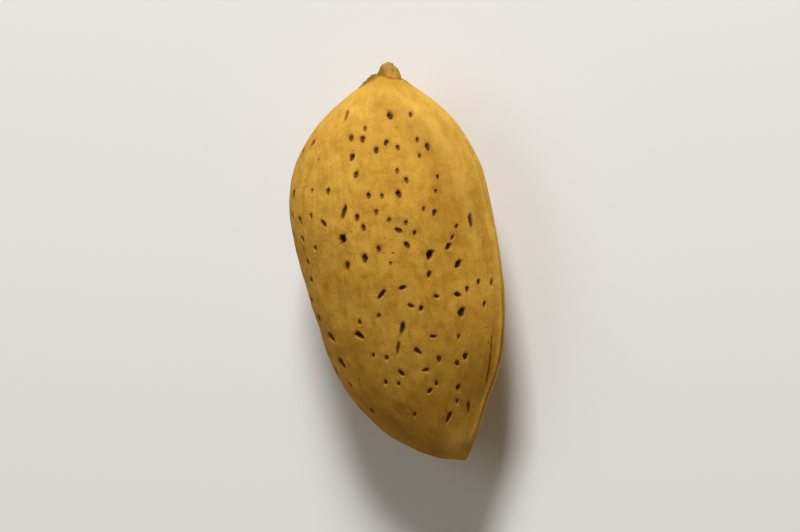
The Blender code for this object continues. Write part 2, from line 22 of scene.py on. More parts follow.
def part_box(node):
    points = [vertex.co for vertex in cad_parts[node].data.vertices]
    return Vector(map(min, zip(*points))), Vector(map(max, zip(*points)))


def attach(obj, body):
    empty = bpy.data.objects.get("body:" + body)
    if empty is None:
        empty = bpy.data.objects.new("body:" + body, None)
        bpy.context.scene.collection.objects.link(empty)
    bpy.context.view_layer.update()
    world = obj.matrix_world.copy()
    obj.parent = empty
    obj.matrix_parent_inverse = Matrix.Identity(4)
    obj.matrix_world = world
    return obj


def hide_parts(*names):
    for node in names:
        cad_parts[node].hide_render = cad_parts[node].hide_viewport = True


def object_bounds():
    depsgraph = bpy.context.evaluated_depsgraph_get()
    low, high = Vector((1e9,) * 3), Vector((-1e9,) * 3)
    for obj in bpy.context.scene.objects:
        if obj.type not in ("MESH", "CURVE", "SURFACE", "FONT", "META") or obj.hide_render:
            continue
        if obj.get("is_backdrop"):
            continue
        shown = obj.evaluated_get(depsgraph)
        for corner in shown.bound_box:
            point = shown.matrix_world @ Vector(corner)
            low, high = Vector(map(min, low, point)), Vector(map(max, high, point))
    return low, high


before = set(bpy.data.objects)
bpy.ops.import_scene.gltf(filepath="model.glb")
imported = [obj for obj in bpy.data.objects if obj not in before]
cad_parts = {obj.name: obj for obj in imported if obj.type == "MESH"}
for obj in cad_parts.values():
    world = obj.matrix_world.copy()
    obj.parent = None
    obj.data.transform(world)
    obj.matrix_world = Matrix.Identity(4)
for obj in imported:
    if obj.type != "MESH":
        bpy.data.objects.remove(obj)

CAD_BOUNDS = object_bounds()
MM = 0.001
FIBRE_RADIUS = 6.0 * MM
LOG = logging.getLogger("almond")


class ArrayMaths:
    """The functions that the nut's formulas use, for numpy arrays."""

    sin = staticmethod(np.sin)
    cos = staticmethod(np.cos)
    sign = staticmethod(np.sign)
    absolute = staticmethod(np.abs)
    maximum = staticmethod(np.maximum)

    @staticmethod
    def power(base: Any, exponent: float) -> Any:
        """Raises a share of 0 to 1 to a power."""
        return np.clip(base, 0.0, 1.0) ** exponent

    @staticmethod
    def smoothstep(low: float, high: float, value: Any) -> Any:
        """Eases from 0 at low to 1 at high."""
        share = np.clip((value - low) / (high - low), 0.0, 1.0)
        return share * share * (3.0 - 2.0 * share)

    @staticmethod
    def smooth_min(first: Any, second: Any, blend: Any) -> Any:
        """Takes the lesser of two heights and rounds the crease where they meet."""
        near = np.maximum(blend - np.abs(first - second), 0.0) / blend
        return np.minimum(first, second) - near ** 3 * blend / 6.0

    @staticmethod
    def bell(value: Any, middle: float, width: float) -> Any:
        """Gives 1 at the middle, falling off to both sides over the width."""
        return np.exp(-((value - middle) / width) ** 2)


class Value:
    """A number worked out by nodes, which a formula can use like a plain number."""

    def __init__(self, tree: "Tree", socket: Any) -> None:
        """Keeps the tree and the socket that gives the number."""
        self.tree = tree
        self.socket = socket

    def __add__(self, other: Any) -> "Value":
        """Adds."""
        return self.tree.math("ADD", self, other)

    def __radd__(self, other: Any) -> "Value":
        """Adds from the left."""
        return self.tree.math("ADD", other, self)

    def __sub__(self, other: Any) -> "Value":
        """Subtracts."""
        return self.tree.math("SUBTRACT", self, other)

    def __rsub__(self, other: Any) -> "Value":
        """Subtracts from the left."""
        return self.tree.math("SUBTRACT", other, self)

    def __mul__(self, other: Any) -> "Value":
        """Multiplies."""
        return self.tree.math("MULTIPLY", self, other)

    def __rmul__(self, other: Any) -> "Value":
        """Multiplies from the left."""
        return self.tree.math("MULTIPLY", other, self)

    def __truediv__(self, other: Any) -> "Value":
        """Divides."""
        return self.tree.math("DIVIDE", self, other)

    def __neg__(self) -> "Value":
        """Changes the sign."""
        return self.tree.math("MULTIPLY", self, -1.0)


class Tree:
    """A node tree under construction, with short calls for the nodes that the nut needs."""

    def __init__(self, group: Any) -> None:
        """Keeps the tree that the nodes go into.

        Args:
            group: a geometry node group, or a material's node tree.
        """
        self.group = group

    def node(self, kind: str, wires: dict | None = None, **settings: Any) -> Any:
        """Adds a node.

        Args:
            kind: the node's type name.
            wires: its inputs by name or number, each a value, a socket or a plain number.
            settings: the node's own properties.

        Returns:
            The node.
        """
        made = self.group.nodes.new(kind)
        for name, setting in settings.items():
            setattr(made, name, setting)
        for name, wire in (wires or {}).items():
            self.wire(made.inputs[name], wire)
        return made

    def wire(self, socket: Any, source: Any) -> None:
        """Feeds an input socket from a value, a socket or a plain number."""
        if isinstance(source, Value):
            source = source.socket
        if isinstance(source, bpy.types.NodeSocket):
            self.group.links.new(source, socket)
        else:
            socket.default_value = source

    def math(self, operation: str, *terms: Any) -> Value:
        """Adds a Math node and gives its result."""
        made = self.node("ShaderNodeMath", dict(enumerate(terms)), operation=operation)
        return Value(self, made.outputs[0])

    def vector_math(self, operation: str, *terms: Any, output: str = "Vector") -> Any:
        """Adds a Vector Math node and gives one of its outputs."""
        made = self.node("ShaderNodeVectorMath", dict(enumerate(terms)), operation=operation)
        return Value(self, made.outputs["Value"]) if output == "Value" else made.outputs["Vector"]

    def scaled(self, vector: Any, scale: Any) -> Any:
        """Gives a vector times a number."""
        made = self.node("ShaderNodeVectorMath", {0: vector, "Scale": scale}, operation="SCALE")
        return made.outputs["Vector"]

    def parts(self, vector: Any) -> list[Value]:
        """Gives a vector's three numbers."""
        made = self.node("ShaderNodeSeparateXYZ", {0: vector})
        return [Value(self, output) for output in made.outputs]

    def vector(self, x: Any, y: Any, z: Any) -> Any:
        """Gives the vector of three numbers."""
        return self.node("ShaderNodeCombineXYZ", {0: x, 1: y, 2: z}).outputs[0]

    def ease(self, value: Any, low: Any, high: Any, start: Any = 0.0, end: Any = 1.0) -> Value:
        """Gives a smooth change from start at low to end at high."""
        wires = {"Value": value, "From Min": low, "From Max": high, "To Min": start, "To Max": end}
        made = self.node("ShaderNodeMapRange", wires, interpolation_type="SMOOTHSTEP")
        return Value(self, made.outputs["Result"])

    def bell(self, value: Any, middle: float, width: float) -> Value:
        """Gives 1 at the middle, falling off to both sides over the width."""
        offset = (value - middle) / width
        return self.math("EXPONENT", -(offset * offset))

    def noise(self, place: Any, scale: float, detail: float = 2.0, roughness: float = 0.5) -> Value:
        """Gives smooth noise of 0 to 1 at a place, with scale in waves a unit."""
        wires = {"Vector": place, "Scale": scale, "Detail": detail, "Roughness": roughness}
        return Value(self, self.node("ShaderNodeTexNoise", wires).outputs[0])

    def distance(self, first: Any, second: Any) -> Value:
        """Gives the distance between two places."""
        return self.vector_math("DISTANCE", first, second, output="Value")

    def streaky(self, fibre: Any, stretch: float) -> Any:
        """Gives the places for a noise that is drawn out along the fibres.

        Args:
            fibre: the distance along the nut, and the cosine and sine of the angle round it.
            stretch: the share of the distance along that counts; a small one makes long streaks.

        Returns:
            The places.
        """
        along, cos_turn, sin_turn = self.parts(fibre)
        return self.vector(along * stretch, cos_turn * FIBRE_RADIUS, sin_turn * FIBRE_RADIUS)


class NodeMaths:
    """The functions that the nut's formulas use, for values in a node tree."""

    def __init__(self, tree: Tree) -> None:
        """Keeps the tree."""
        self.tree = tree

    def sin(self, angle: Any) -> Value:
        """Gives the sine."""
        return self.tree.math("SINE", angle)

    def cos(self, angle: Any) -> Value:
        """Gives the cosine."""
        return self.tree.math("COSINE", angle)

    def sign(self, value: Any) -> Value:
        """Gives -1, 0 or 1."""
        return self.tree.math("SIGN", value)

    def absolute(self, value: Any) -> Value:
        """Gives the size without the sign."""
        return self.tree.math("ABSOLUTE", value)

    def maximum(self, first: Any, second: Any) -> Value:
        """Gives the greater."""
        return self.tree.math("MAXIMUM", first, second)

    def power(self, base: Any, exponent: float) -> Value:
        """Raises a share of 0 to 1 to a power."""
        return self.tree.math("POWER", self.maximum(base, 0.0), exponent)

    def smoothstep(self, low: float, high: float, value: Any) -> Value:
        """Eases from 0 at low to 1 at high."""
        return self.tree.ease(value, low, high)

    def smooth_min(self, first: Any, second: Any, blend: Any) -> Value:
        """Takes the lesser of two heights and rounds the crease where they meet."""
        return self.tree.math("SMOOTH_MIN", first, second, blend)

    def bell(self, value: Any, middle: float, width: float) -> Value:
        """Gives 1 at the middle, falling off to both sides over the width."""
        return self.tree.bell(value, middle, width)


@dataclass(frozen=True)
class Swell:
    """How far an edge or a face stands from the stem-to-tip line along the body."""

    reach: Any
    rise: float
    fall: float
    drop: float = 0.0
    lift: float = 0.0

    def share(self, t: Any, maths: Any) -> Any:
        """Gives the bare formula at the share t of the body's length."""
        fill = 1.0 + self.drop * t + self.lift * t * t
        return maths.power(t, self.rise) * maths.power(1.0 - t, self.fall) * fill

    def at(self, t: Any, maths: Any) -> Any:
        """Gives the distance at t, with reach as its greatest."""
        peak = float(self.share(np.linspace(0.0, 1.0, 401), ArrayMaths).max())
        return self.reach * self.share(t, maths) / peak


class Wave(NamedTuple):
    """A slow unevenness of the form: share of the radius, waves along and round, start angle."""

    share: float
    along: float
    around: int
    start: float


@dataclass(frozen=True)
class NutForm:
    """The smooth form of the nut, with the stem at 0 and the tip along +X, as in the solid."""

    length: Any = 36.0 * MM
    stem_height: Any = 0.9 * MM
    back: Swell = Swell(11.76 * MM, 0.74, 0.72, -1.35, 1.15)
    keel: Swell = Swell(6.71 * MM, 1.045, 1.04, -1.42, 1.17)
    thickness: Swell = Swell(7.1 * MM, 0.55, 0.82)
    beak_share: float = 0.20
    beak_middle: float = 0.90
    beak_width: float = 0.10
    keel_pinch: float = 0.10
    back_pinch: float = 0.06
    band_edge: float = 0.75 * MM
    band_slope: float = 1.35
    band_blend: float = 0.40
    band_fade: tuple = (0.50, 0.80)
    band_left_at_tip: float = 0.25
    waves: tuple = (Wave(0.010, 1.3, 2, 1.0), Wave(0.008, 2.1, -3, 0.4), Wave(0.005, 3.4, 5, 2.2))
    rest_cut: float = 0.34 * MM

    def point(self, t: Any, turn: Any, maths: Any) -> tuple:
        """Works out a point of the smooth form.

        Args:
            t: the share of the body's length, from the stem to the tip.
            turn: the angle round from the keel edge by way of the top.
            maths: the functions for arrays or for nodes.

        Returns:
            The point's x, y and z.
        """
        back, keel, thick = (edge.at(t, maths) for edge in (self.back, self.keel, self.thickness))
        keel = keel * (1.0 - maths.bell(t, self.beak_middle, self.beak_width) * self.beak_share)
        half, middle = (keel + back) * 0.5, (keel - back) * 0.5
        side, up = maths.cos(turn), maths.sin(turn)
        keelward, backward = maths.maximum(side, 0.0), maths.maximum(side * -1.0, 0.0)
        pinch = keelward * keelward * self.keel_pinch + backward * backward * self.back_pinch
        dome = thick * maths.absolute(up) * (1.0 - pinch)
        inset = half * (1.0 - side)
        band = inset * self.band_slope + self.band_edge
        banded = maths.smooth_min(dome, band, inset * self.band_blend + self.band_edge)
        strength = 1.0 - (1.0 - self.band_left_at_tip) * maths.smoothstep(*self.band_fade, t)
        height = maths.maximum(dome + (banded - dome) * strength, 0.0)
        uneven = 1.0
        for wave in self.waves:
            angle = t * (2.0 * math.pi * wave.along) + turn * float(wave.around) + wave.start
            uneven = maths.sin(t * math.pi) * maths.sin(angle) * wave.share + uneven
        x = t * (self.length - self.stem_height) + self.stem_height
        return x, middle + half * side * uneven, maths.sign(up) * height * uneven

    def points(self, t: Any, turn: Any) -> np.ndarray:
        """Gives points of the smooth form as an array."""
        t, turn = np.broadcast_arrays(np.asarray(t, float), np.asarray(turn, float))
        return np.stack(self.point(t, turn, ArrayMaths), axis=-1)

    def slopes(self, t: float, turn: float) -> tuple:
        """Measures how the form moves at a place.

        Args:
            t: the share of the body's length.
            turn: the angle round.

        Returns:
            The point, and how it moves with t and with the angle.
        """
        step_t, step_turn = 1e-4, 1e-3
        shares = [t, t + step_t, t - step_t, t, t]
        turns = [turn, turn, turn, turn + step_turn, turn - step_turn]
        ends = self.points(shares, turns)
        return ends[0], (ends[1] - ends[2]) / (2.0 * step_t), (ends[3] - ends[4]) / (2.0 * step_turn)

    def ways(self, t: float, turn: float) -> tuple:
        """Finds the two ways on the skin at a place.

        Args:
            t: the share of the body's length.
            turn: the angle round.

        Returns:
            The point, the way along and the way round.
        """
        point, by_t, by_turn = self.slopes(t, turn)
        round_way = by_turn / np.linalg.norm(by_turn)
        long_way = by_t - round_way * by_t.dot(round_way)
        return point, long_way / np.linalg.norm(long_way), round_way

    def shifted(self, t: float, turn: float, along: float, across: float) -> tuple:
        """Moves a place by two distances measured on the skin.

        Args:
            t: the share of the body's length.
            turn: the angle round.
            along: the distance along the nut.
            across: the distance round it.

        Returns:
            The t and turn of the new place.
        """
        _, by_t, by_turn = self.slopes(t, turn)
        _, long_way, round_way = self.ways(t, turn)
        wanted = along * long_way + across * round_way
        change, *_ = np.linalg.lstsq(np.stack([by_t, by_turn], axis=1), wanted, rcond=None)
        return t + change[0], turn + change[1]

    def line(self, start: tuple, end: tuple, sway: float, step: float) -> list[tuple]:
        """Lays a line on the skin in even steps.

        Args:
            start: t and turn of its start.
            end: t and turn of its end.
            sway: how far it bends aside, in degrees.
            step: the distance between its points.

        Returns:
            The t and turn of each point.
        """
        shares = np.linspace(0.0, 1.0, 60)
        t = start[0] + (end[0] - start[0]) * shares
        bend = math.radians(sway) * np.sin(2.0 * math.pi * shares)
        turn = start[1] + (end[1] - start[1]) * shares + bend
        gaps = np.linalg.norm(np.diff(self.points(t, turn), axis=0), axis=1)
        reach = np.concatenate([[0.0], np.cumsum(gaps)])
        even = np.linspace(0.0, reach[-1], max(4, round(reach[-1] / step) + 1))
        return list(zip(np.interp(even, reach, t), np.interp(even, reach, turn)))


class RestSpot:
    """The flat spot that the nut lies on, cut across the lowest place of its underside."""

    def __init__(self, form: NutForm) -> None:
        """Finds the lowest place and the height of the cut."""
        self.form = form
        t, turn = np.meshgrid(np.linspace(0.2, 0.7, 101), np.radians(np.linspace(220.0, 320.0, 201)))
        heights = form.points(t, turn)[..., 2]
        lowest = np.unravel_index(heights.argmin(), heights.shape)
        self.t, self.turn = float(t[lowest]), float(turn[lowest])
        self.floor = float(heights[lowest]) + form.rest_cut

    def rim(self, count: int = 28) -> np.ndarray:
        """Finds the flat spot's edge.

        Args:
            count: how many points to give.

        Returns:
            Points round the edge.
        """
        distances = np.linspace(0.3 * MM, 9.0 * MM, 400)
        places = []
        for step in range(count):
            angle = 2.0 * math.pi * step / count
            aside = self.form.shifted(self.t, self.turn, MM * math.cos(angle), MM * math.sin(angle))
            by_t, by_turn = (aside[0] - self.t) / MM, (aside[1] - self.turn) / MM
            heights = self.form.points(self.t + by_t * distances, self.turn + by_turn * distances)[:, 2]
            reach = np.interp(self.floor, heights, distances)
            places.append((self.t + by_t * reach, self.turn + by_turn * reach))
        return self.form.points(*np.array(places).T)


class PitKind(NamedTuple):
    """Half sizes of a pit in millimetres, and how dark it is: 1 for the darkest."""

    room: float
    half_length: float
    half_width: float
    tone: float


class PitSize(Enum):
    """The kinds of pits. Their room is the half length of their coarser stand-in in the solid."""

    LARGE = PitKind(0.66, 0.56, 0.38, 0.88)
    LONG = PitKind(0.85, 0.72, 0.22, 0.86)
    MIDDLE = PitKind(0.52, 0.44, 0.26, 0.76)
    SMALL = PitKind(0.42, 0.34, 0.21, 0.58)
    STREAK = PitKind(0.75, 0.75, 0.20, 0.44)
    TINY = PitKind(0.30, 0.29, 0.18, 0.36)


class FacePit(NamedTuple):
    """A pit of the face that shows: place along and across the nut in millimetres, size and lean."""

    along: float
    across: float
    size: PitSize
    lean: float


FACE_PITS = (
    FacePit(4.0, -4.6, PitSize.STREAK, 5),
    FacePit(4.7, -0.8, PitSize.MIDDLE, 5),
    FacePit(5.0, 1.0, PitSize.SMALL, 30),
    FacePit(5.5, -3.2, PitSize.TINY, 5),
    FacePit(5.8, -8.1, PitSize.MIDDLE, 40),
    FacePit(6.1, -4.6, PitSize.SMALL, 0),
    FacePit(6.4, -3.6, PitSize.MIDDLE, 5),
    FacePit(7.1, -1.6, PitSize.SMALL, 20),
    FacePit(7.3, 1.2, PitSize.TINY, 20),
    FacePit(7.6, -2.6, PitSize.MIDDLE, 10),
    FacePit(7.7, -0.7, PitSize.SMALL, -5),
    FacePit(7.8, -4.9, PitSize.MIDDLE, 15),
    FacePit(8.1, 2.0, PitSize.MIDDLE, 5),
    FacePit(8.8, 1.1, PitSize.TINY, 20),
    FacePit(9.4, -4.8, PitSize.MIDDLE, 25),
    FacePit(9.8, -1.2, PitSize.TINY, 10),
    FacePit(10.0, -8.9, PitSize.TINY, 5),
    FacePit(10.3, -7.5, PitSize.SMALL, 20),
    FacePit(10.7, -0.5, PitSize.SMALL, -5),
    FacePit(10.9, 2.3, PitSize.SMALL, 20),
    FacePit(11.4, -4.0, PitSize.SMALL, 10),
    FacePit(11.7, -2.9, PitSize.TINY, 10),
    FacePit(11.8, -1.4, PitSize.MIDDLE, -10),
    FacePit(12.1, 1.9, PitSize.TINY, 15),
    FacePit(12.2, -9.4, PitSize.SMALL, 10),
    FacePit(12.4, -6.5, PitSize.LONG, 30),
    FacePit(13.0, -8.4, PitSize.MIDDLE, -35),
    FacePit(13.0, -3.7, PitSize.SMALL, 10),
    FacePit(13.1, -5.4, PitSize.SMALL, 10),
    FacePit(13.5, 0.5, PitSize.TINY, 10),
    FacePit(13.9, -2.7, PitSize.TINY, 10),
    FacePit(14.0, 1.4, PitSize.MIDDLE, 35),
    FacePit(14.1, -5.0, PitSize.SMALL, 10),
    FacePit(14.4, -1.2, PitSize.TINY, 10),
    FacePit(14.7, -7.0, PitSize.LARGE, 30),
    FacePit(14.9, -2.0, PitSize.MIDDLE, -60),
    FacePit(15.0, -9.6, PitSize.TINY, 25),
    FacePit(15.3, 4.3, PitSize.LONG, 5),
    FacePit(15.4, -0.7, PitSize.TINY, 10),
    FacePit(15.5, 3.2, PitSize.TINY, 15),
    FacePit(16.2, -4.1, PitSize.SMALL, 10),
    FacePit(16.3, -1.5, PitSize.MIDDLE, -25),
    FacePit(16.4, 2.6, PitSize.TINY, 35),
    FacePit(16.8, -5.4, PitSize.MIDDLE, 15),
    FacePit(17.1, -7.1, PitSize.MIDDLE, 25),
    FacePit(17.1, 2.1, PitSize.MIDDLE, 55),
    FacePit(17.5, 0.3, PitSize.LARGE, 30),
    FacePit(17.6, -3.3, PitSize.TINY, 10),
    FacePit(18.8, 2.6, PitSize.MIDDLE, 55),
    FacePit(19.2, -0.1, PitSize.SMALL, 15),
    FacePit(19.9, -2.7, PitSize.SMALL, 80),
    FacePit(20.1, -4.5, PitSize.LONG, 50),
    FacePit(20.7, 4.0, PitSize.SMALL, 10),
    FacePit(21.0, 5.2, PitSize.TINY, 10),
    FacePit(21.1, 2.9, PitSize.SMALL, 10),
    FacePit(21.2, 0.1, PitSize.SMALL, -60),
    FacePit(21.4, 2.0, PitSize.MIDDLE, -55),
    FacePit(21.6, -2.2, PitSize.SMALL, -50),
    FacePit(21.9, -5.2, PitSize.SMALL, 45),
    FacePit(22.0, -1.4, PitSize.SMALL, 30),
    FacePit(22.2, -6.9, PitSize.TINY, 20),
    FacePit(22.7, 4.2, PitSize.TINY, 10),
    FacePit(23.0, 2.0, PitSize.LARGE, 10),
    FacePit(23.3, -7.2, PitSize.LARGE, -35),
    FacePit(23.4, -3.3, PitSize.LONG, 25),
    FacePit(24.6, -0.8, PitSize.SMALL, -70),
    FacePit(25.1, -4.0, PitSize.STREAK, 25),
    FacePit(25.1, 1.4, PitSize.TINY, 5),
    FacePit(25.3, -6.3, PitSize.TINY, 25),
    FacePit(25.6, -2.4, PitSize.MIDDLE, -30),
    FacePit(25.7, -5.2, PitSize.SMALL, 20),
    FacePit(26.7, -0.7, PitSize.SMALL, 10),
    FacePit(26.9, 1.6, PitSize.SMALL, 5),
    FacePit(27.3, -4.2, PitSize.MIDDLE, -30),
    FacePit(27.4, -2.0, PitSize.SMALL, 85),
    FacePit(27.4, 0.8, PitSize.SMALL, -25),
    FacePit(27.8, -5.7, PitSize.TINY, 30),
    FacePit(28.2, -4.6, PitSize.TINY, 25),
    FacePit(28.8, -1.3, PitSize.TINY, 10),
    FacePit(29.3, -2.0, PitSize.SMALL, 40),
    FacePit(29.5, 0.5, PitSize.SMALL, 5),
    FacePit(30.7, 0.2, PitSize.TINY, 0),
    FacePit(31.1, -3.7, PitSize.TINY, 25),
    FacePit(31.4, 1.1, PitSize.STREAK, -5),
    FacePit(31.9, -0.8, PitSize.STREAK, 30),
)


class Furrow(NamedTuple):
    """A furrow: from and to as shares of the length and angles round, its sway and its size."""

    start: float
    start_turn: float
    end: float
    end_turn: float
    sway: float
    size: float


FURROWS = (
    Furrow(0.060, -30, 0.400, -17, 1.0, 1.0),
    Furrow(0.100, -50, 0.300, -38, -1.5, 0.9),
    Furrow(0.330, -29, 0.620, -21, 1.5, 0.9),
    Furrow(0.430, -43, 0.740, -33, -1.5, 1.0),
    Furrow(0.140, -64, 0.270, -54, 1.0, 0.7),
    Furrow(0.660, -24, 0.870, -26, 2.0, 0.8),
    Furrow(0.520, -58, 0.660, -52, 1.0, 0.7),
    Furrow(0.700, 21, 0.820, 16, 0.0, 0.6),
    Furrow(0.075, 174, 0.200, 180, 2.0, 1.0),
    Furrow(0.130, 194, 0.360, 189, -2.0, 1.0),
    Furrow(0.420, 186, 0.640, 187, 2.0, 0.9),
    Furrow(0.660, 196, 0.850, 199, -2.0, 0.8),
    Furrow(0.200, 208, 0.330, 206, 1.0, 0.7),
    Furrow(0.110, 224, 0.240, 234, 1.0, 0.8),
    Furrow(0.780, 238, 0.900, 248, 2.0, 0.7),
    Furrow(0.780, -78, 0.890, -72, -2.0, 0.6),
)


def marker_object(name: str, points: list, marks: dict[str, list]) -> bpy.types.Object:
    """Makes a mesh of loose points that the shell's nodes read, which is no part of the nut.

    Args:
        name: the object's name.
        points: the points' places.
        marks: by name, one number or vector for each point.

    Returns:
        The object, linked to the scene.
    """
    mesh = bpy.data.meshes.new(name)
    mesh.from_pydata([tuple(point) for point in points], [], [])
    for mark, values in marks.items():
        is_vector = np.ndim(values) == 2
        layer = mesh.attributes.new(mark, "FLOAT_VECTOR" if is_vector else "FLOAT", "POINT")
        layer.data.foreach_set("vector" if is_vector else "value", np.asarray(values, "f").ravel())
    marker = bpy.data.objects.new(name, mesh)
    bpy.context.scene.collection.objects.link(marker)
    return marker


def nearest_gap(points: np.ndarray, place: np.ndarray) -> float:
    """Gives the distance from a place to the nearest of the points."""
    return float(np.linalg.norm(points - place, axis=-1).min())


@dataclass
class PitField:
    """All the pits: those read from the face that shows, and the scattered others."""

    form: NutForm
    rest: RestSpot
    face_turn: float = math.radians(18.0)
    seed: int = 1907
    tries: int = 5200
    most: int = 165
    gap: float = 0.45 * MM
    stem_clear: float = 3.6 * MM
    tip_clear: float = 3.2 * MM
    keel_clear: float = 3.1 * MM
    groove_clear: float = 0.95 * MM
    rest_clear: float = 0.5 * MM
    shown_turns: tuple = (math.radians(8.0), math.radians(140.0))
    depth_share: float = 1.5
    lean_spread: float = 18.0
    scattered: tuple = (
        PitSize.LARGE,
        PitSize.MIDDLE,
        PitSize.MIDDLE,
        PitSize.SMALL,
        PitSize.SMALL,
        PitSize.LONG,
    )

    def on_face(self, along: float, across: float) -> tuple:
        """Finds a place on the shown face, seen with the nut turned to its keel.

        Args:
            along: how far it is from the stem, along the nut.
            across: how far it is from the middle line, towards the keel.

        Returns:
            Its t and turn.
        """
        t = (along - self.form.stem_height) / (self.form.length - self.form.stem_height)
        turns = np.linspace(math.radians(2.0), math.radians(165.0), 240)
        points = self.form.points(t, turns)
        seen = points[:, 1] * math.cos(self.face_turn) - points[:, 2] * math.sin(self.face_turn)
        return t, float(turns[np.abs(seen - across).argmin()])

    def likelihood(self, t: float, point: np.ndarray) -> float:
        """Gives how likely a scattered pit is: most on the broad faces, few at the ends.

        Args:
            t: the share of the body's length.
            point: the place on the skin.

        Returns:
            The likelihood, from 0 to 1.
        """
        ease = ArrayMaths.smoothstep
        ends = ease(0.08, 0.26, t) * (1.0 - ease(0.76, 0.93, t))
        flank = ease(1.5 * MM, 4.5 * MM, abs(point[2]))
        girth = (self.form.back.at(t, ArrayMaths) + self.form.keel.at(t, ArrayMaths))
        girth /= self.form.back.reach + self.form.keel.reach
        return float(ends * (0.25 + 0.75 * flank) * girth)

    def places(self, groove_points: np.ndarray) -> Iterator[tuple]:
        """Gives each pit's t, turn, size class and lean in degrees, as in the solid.

        Args:
            groove_points: points along the furrows and the seam, which the pits keep clear of.

        Yields:
            The pits, first the face's own and then the scattered ones.
        """
        middles, reaches = [], []
        for pit in FACE_PITS:
            t, turn = self.on_face(pit.along * MM, pit.across * MM)
            middles.append(self.form.points(t, turn))
            reaches.append(pit.size.value.room * MM)
            yield t, turn, pit.size, float(pit.lean)
        draw = random.Random(self.seed)
        stem, tip = self.form.points(0.0, 0.0), self.form.points(1.0, 0.0)
        rim = self.rest.rim()
        for _ in range(self.tries):
            t, turn = draw.random(), draw.uniform(0.0, 2.0 * math.pi)
            size = draw.choice(self.scattered)
            lean, luck = draw.gauss(0.0, self.lean_spread), draw.random()
            point, reach = self.form.points(t, turn), size.value.room * MM
            if self.shown_turns[0] < turn < self.shown_turns[1]:
                continue
            if len(middles) - len(FACE_PITS) >= self.most or luck > self.likelihood(t, point):
                continue
            keel_edge = float(self.form.keel.at(t, ArrayMaths))
            if turn < math.pi and point[1] > keel_edge - self.keel_clear:
                continue
            if nearest_gap(stem, point) < self.stem_clear or nearest_gap(tip, point) < self.tip_clear:
                continue
            if nearest_gap(groove_points, point) < reach + self.groove_clear:
                continue
            if point[2] < self.rest.floor or nearest_gap(rim, point) < reach + self.rest_clear:
                continue
            gaps = np.linalg.norm(np.array(middles) - point, axis=1) - np.array(reaches) - reach
            if gaps.min() < self.gap:
                continue
            middles.append(point)
            reaches.append(reach)
            yield t, turn, size, lean

    def markers(self, groove_points: np.ndarray) -> bpy.types.Object:
        """Makes the points that tell the nodes where each pit is, how big and how it leans.

        Args:
            groove_points: points along the furrows and the seam, which the pits keep clear of.

        Returns:
            The marker object.
        """
        points = []
        marks = {"pit_long_way": [], "pit_round_way": [], "pit_half_sizes": [], "pit_tone": []}
        draw = random.Random(self.seed + 1)
        for t, turn, size, lean in self.places(groove_points):
            point, long_way, round_way = self.form.ways(t, turn)
            cos_lean, sin_lean = math.cos(math.radians(lean)), math.sin(math.radians(lean))
            spread = draw.uniform(0.85, 1.15) * MM
            half_length, half_width = size.value.half_length * spread, size.value.half_width * spread
            points.append(point)
            marks["pit_long_way"].append(long_way * cos_lean + round_way * sin_lean)
            marks["pit_round_way"].append(round_way * cos_lean - long_way * sin_lean)
            depth = self.depth_share * half_width * draw.uniform(0.55, 1.0)
            marks["pit_half_sizes"].append((half_length, half_width, depth))
            marks["pit_tone"].append((size.value.tone * draw.uniform(0.85, 1.1), 0.0, 0.0))
        return marker_object("pit_markers", points, marks)


@dataclass
class FurrowField:
    """The furrows of the flanks and ends, and the keel's seam, as lines on the skin."""

    form: NutForm
    half_width: float = 0.36 * MM
    depth: float = 0.48 * MM
    seam_reach: tuple = (0.055, 0.960)
    seam_half_width: float = 0.20 * MM
    seam_depth: float = 0.34 * MM
    solid_step: float = 1.15 * MM
    fine_step: float = 0.07 * MM

    def lines(self, step: float) -> Iterator[tuple]:
        """Gives each furrow and the places along it."""
        for furrow in FURROWS:
            start = (furrow.start, math.radians(furrow.start_turn))
            end = (furrow.end, math.radians(furrow.end_turn))
            yield furrow, self.form.line(start, end, furrow.sway, step)

    def seam_line(self, step: float) -> list[tuple]:
        """Gives the places along the keel's seam."""
        return self.form.line((self.seam_reach[0], 0.0), (self.seam_reach[1], 0.0), 0.0, step)

    def clear_points(self) -> np.ndarray:
        """Gives the points that the pits keep clear of, as in the solid."""
        lines = [line for _, line in self.lines(self.solid_step)] + [self.seam_line(self.solid_step)]
        return np.concatenate([self.form.points(*np.array(line).T) for line in lines])

    @staticmethod
    def taper(count: int) -> np.ndarray:
        """Gives the share of the full size at each of a line's points, least at both ends."""
        return np.sqrt(np.sin(math.pi * np.linspace(0.0, 1.0, count)).clip(0.02))

    def markers(self) -> tuple[bpy.types.Object, bpy.types.Object]:
        """Makes the marker points along the furrows and along the seam.

        Returns:
            The furrows' marker object and the seam's.
        """
        points, sizes = [], []
        for furrow, line in self.lines(self.fine_step):
            taper = self.taper(len(line))
            points.extend(self.form.points(*np.array(line).T))
            for share in taper * furrow.size:
                sizes.append((self.half_width * share, self.depth * share, furrow.size ** 2))
        furrows = marker_object("furrow_markers", points, {"furrow_size": sizes})
        line = self.seam_line(self.fine_step)
        taper = self.taper(len(line))
        sizes = [(self.seam_half_width, self.seam_depth * share, 0.8 * share) for share in taper]
        seam = marker_object("seam_markers", self.form.points(*np.array(line).T), {"furrow_size": sizes})
        return furrows, seam


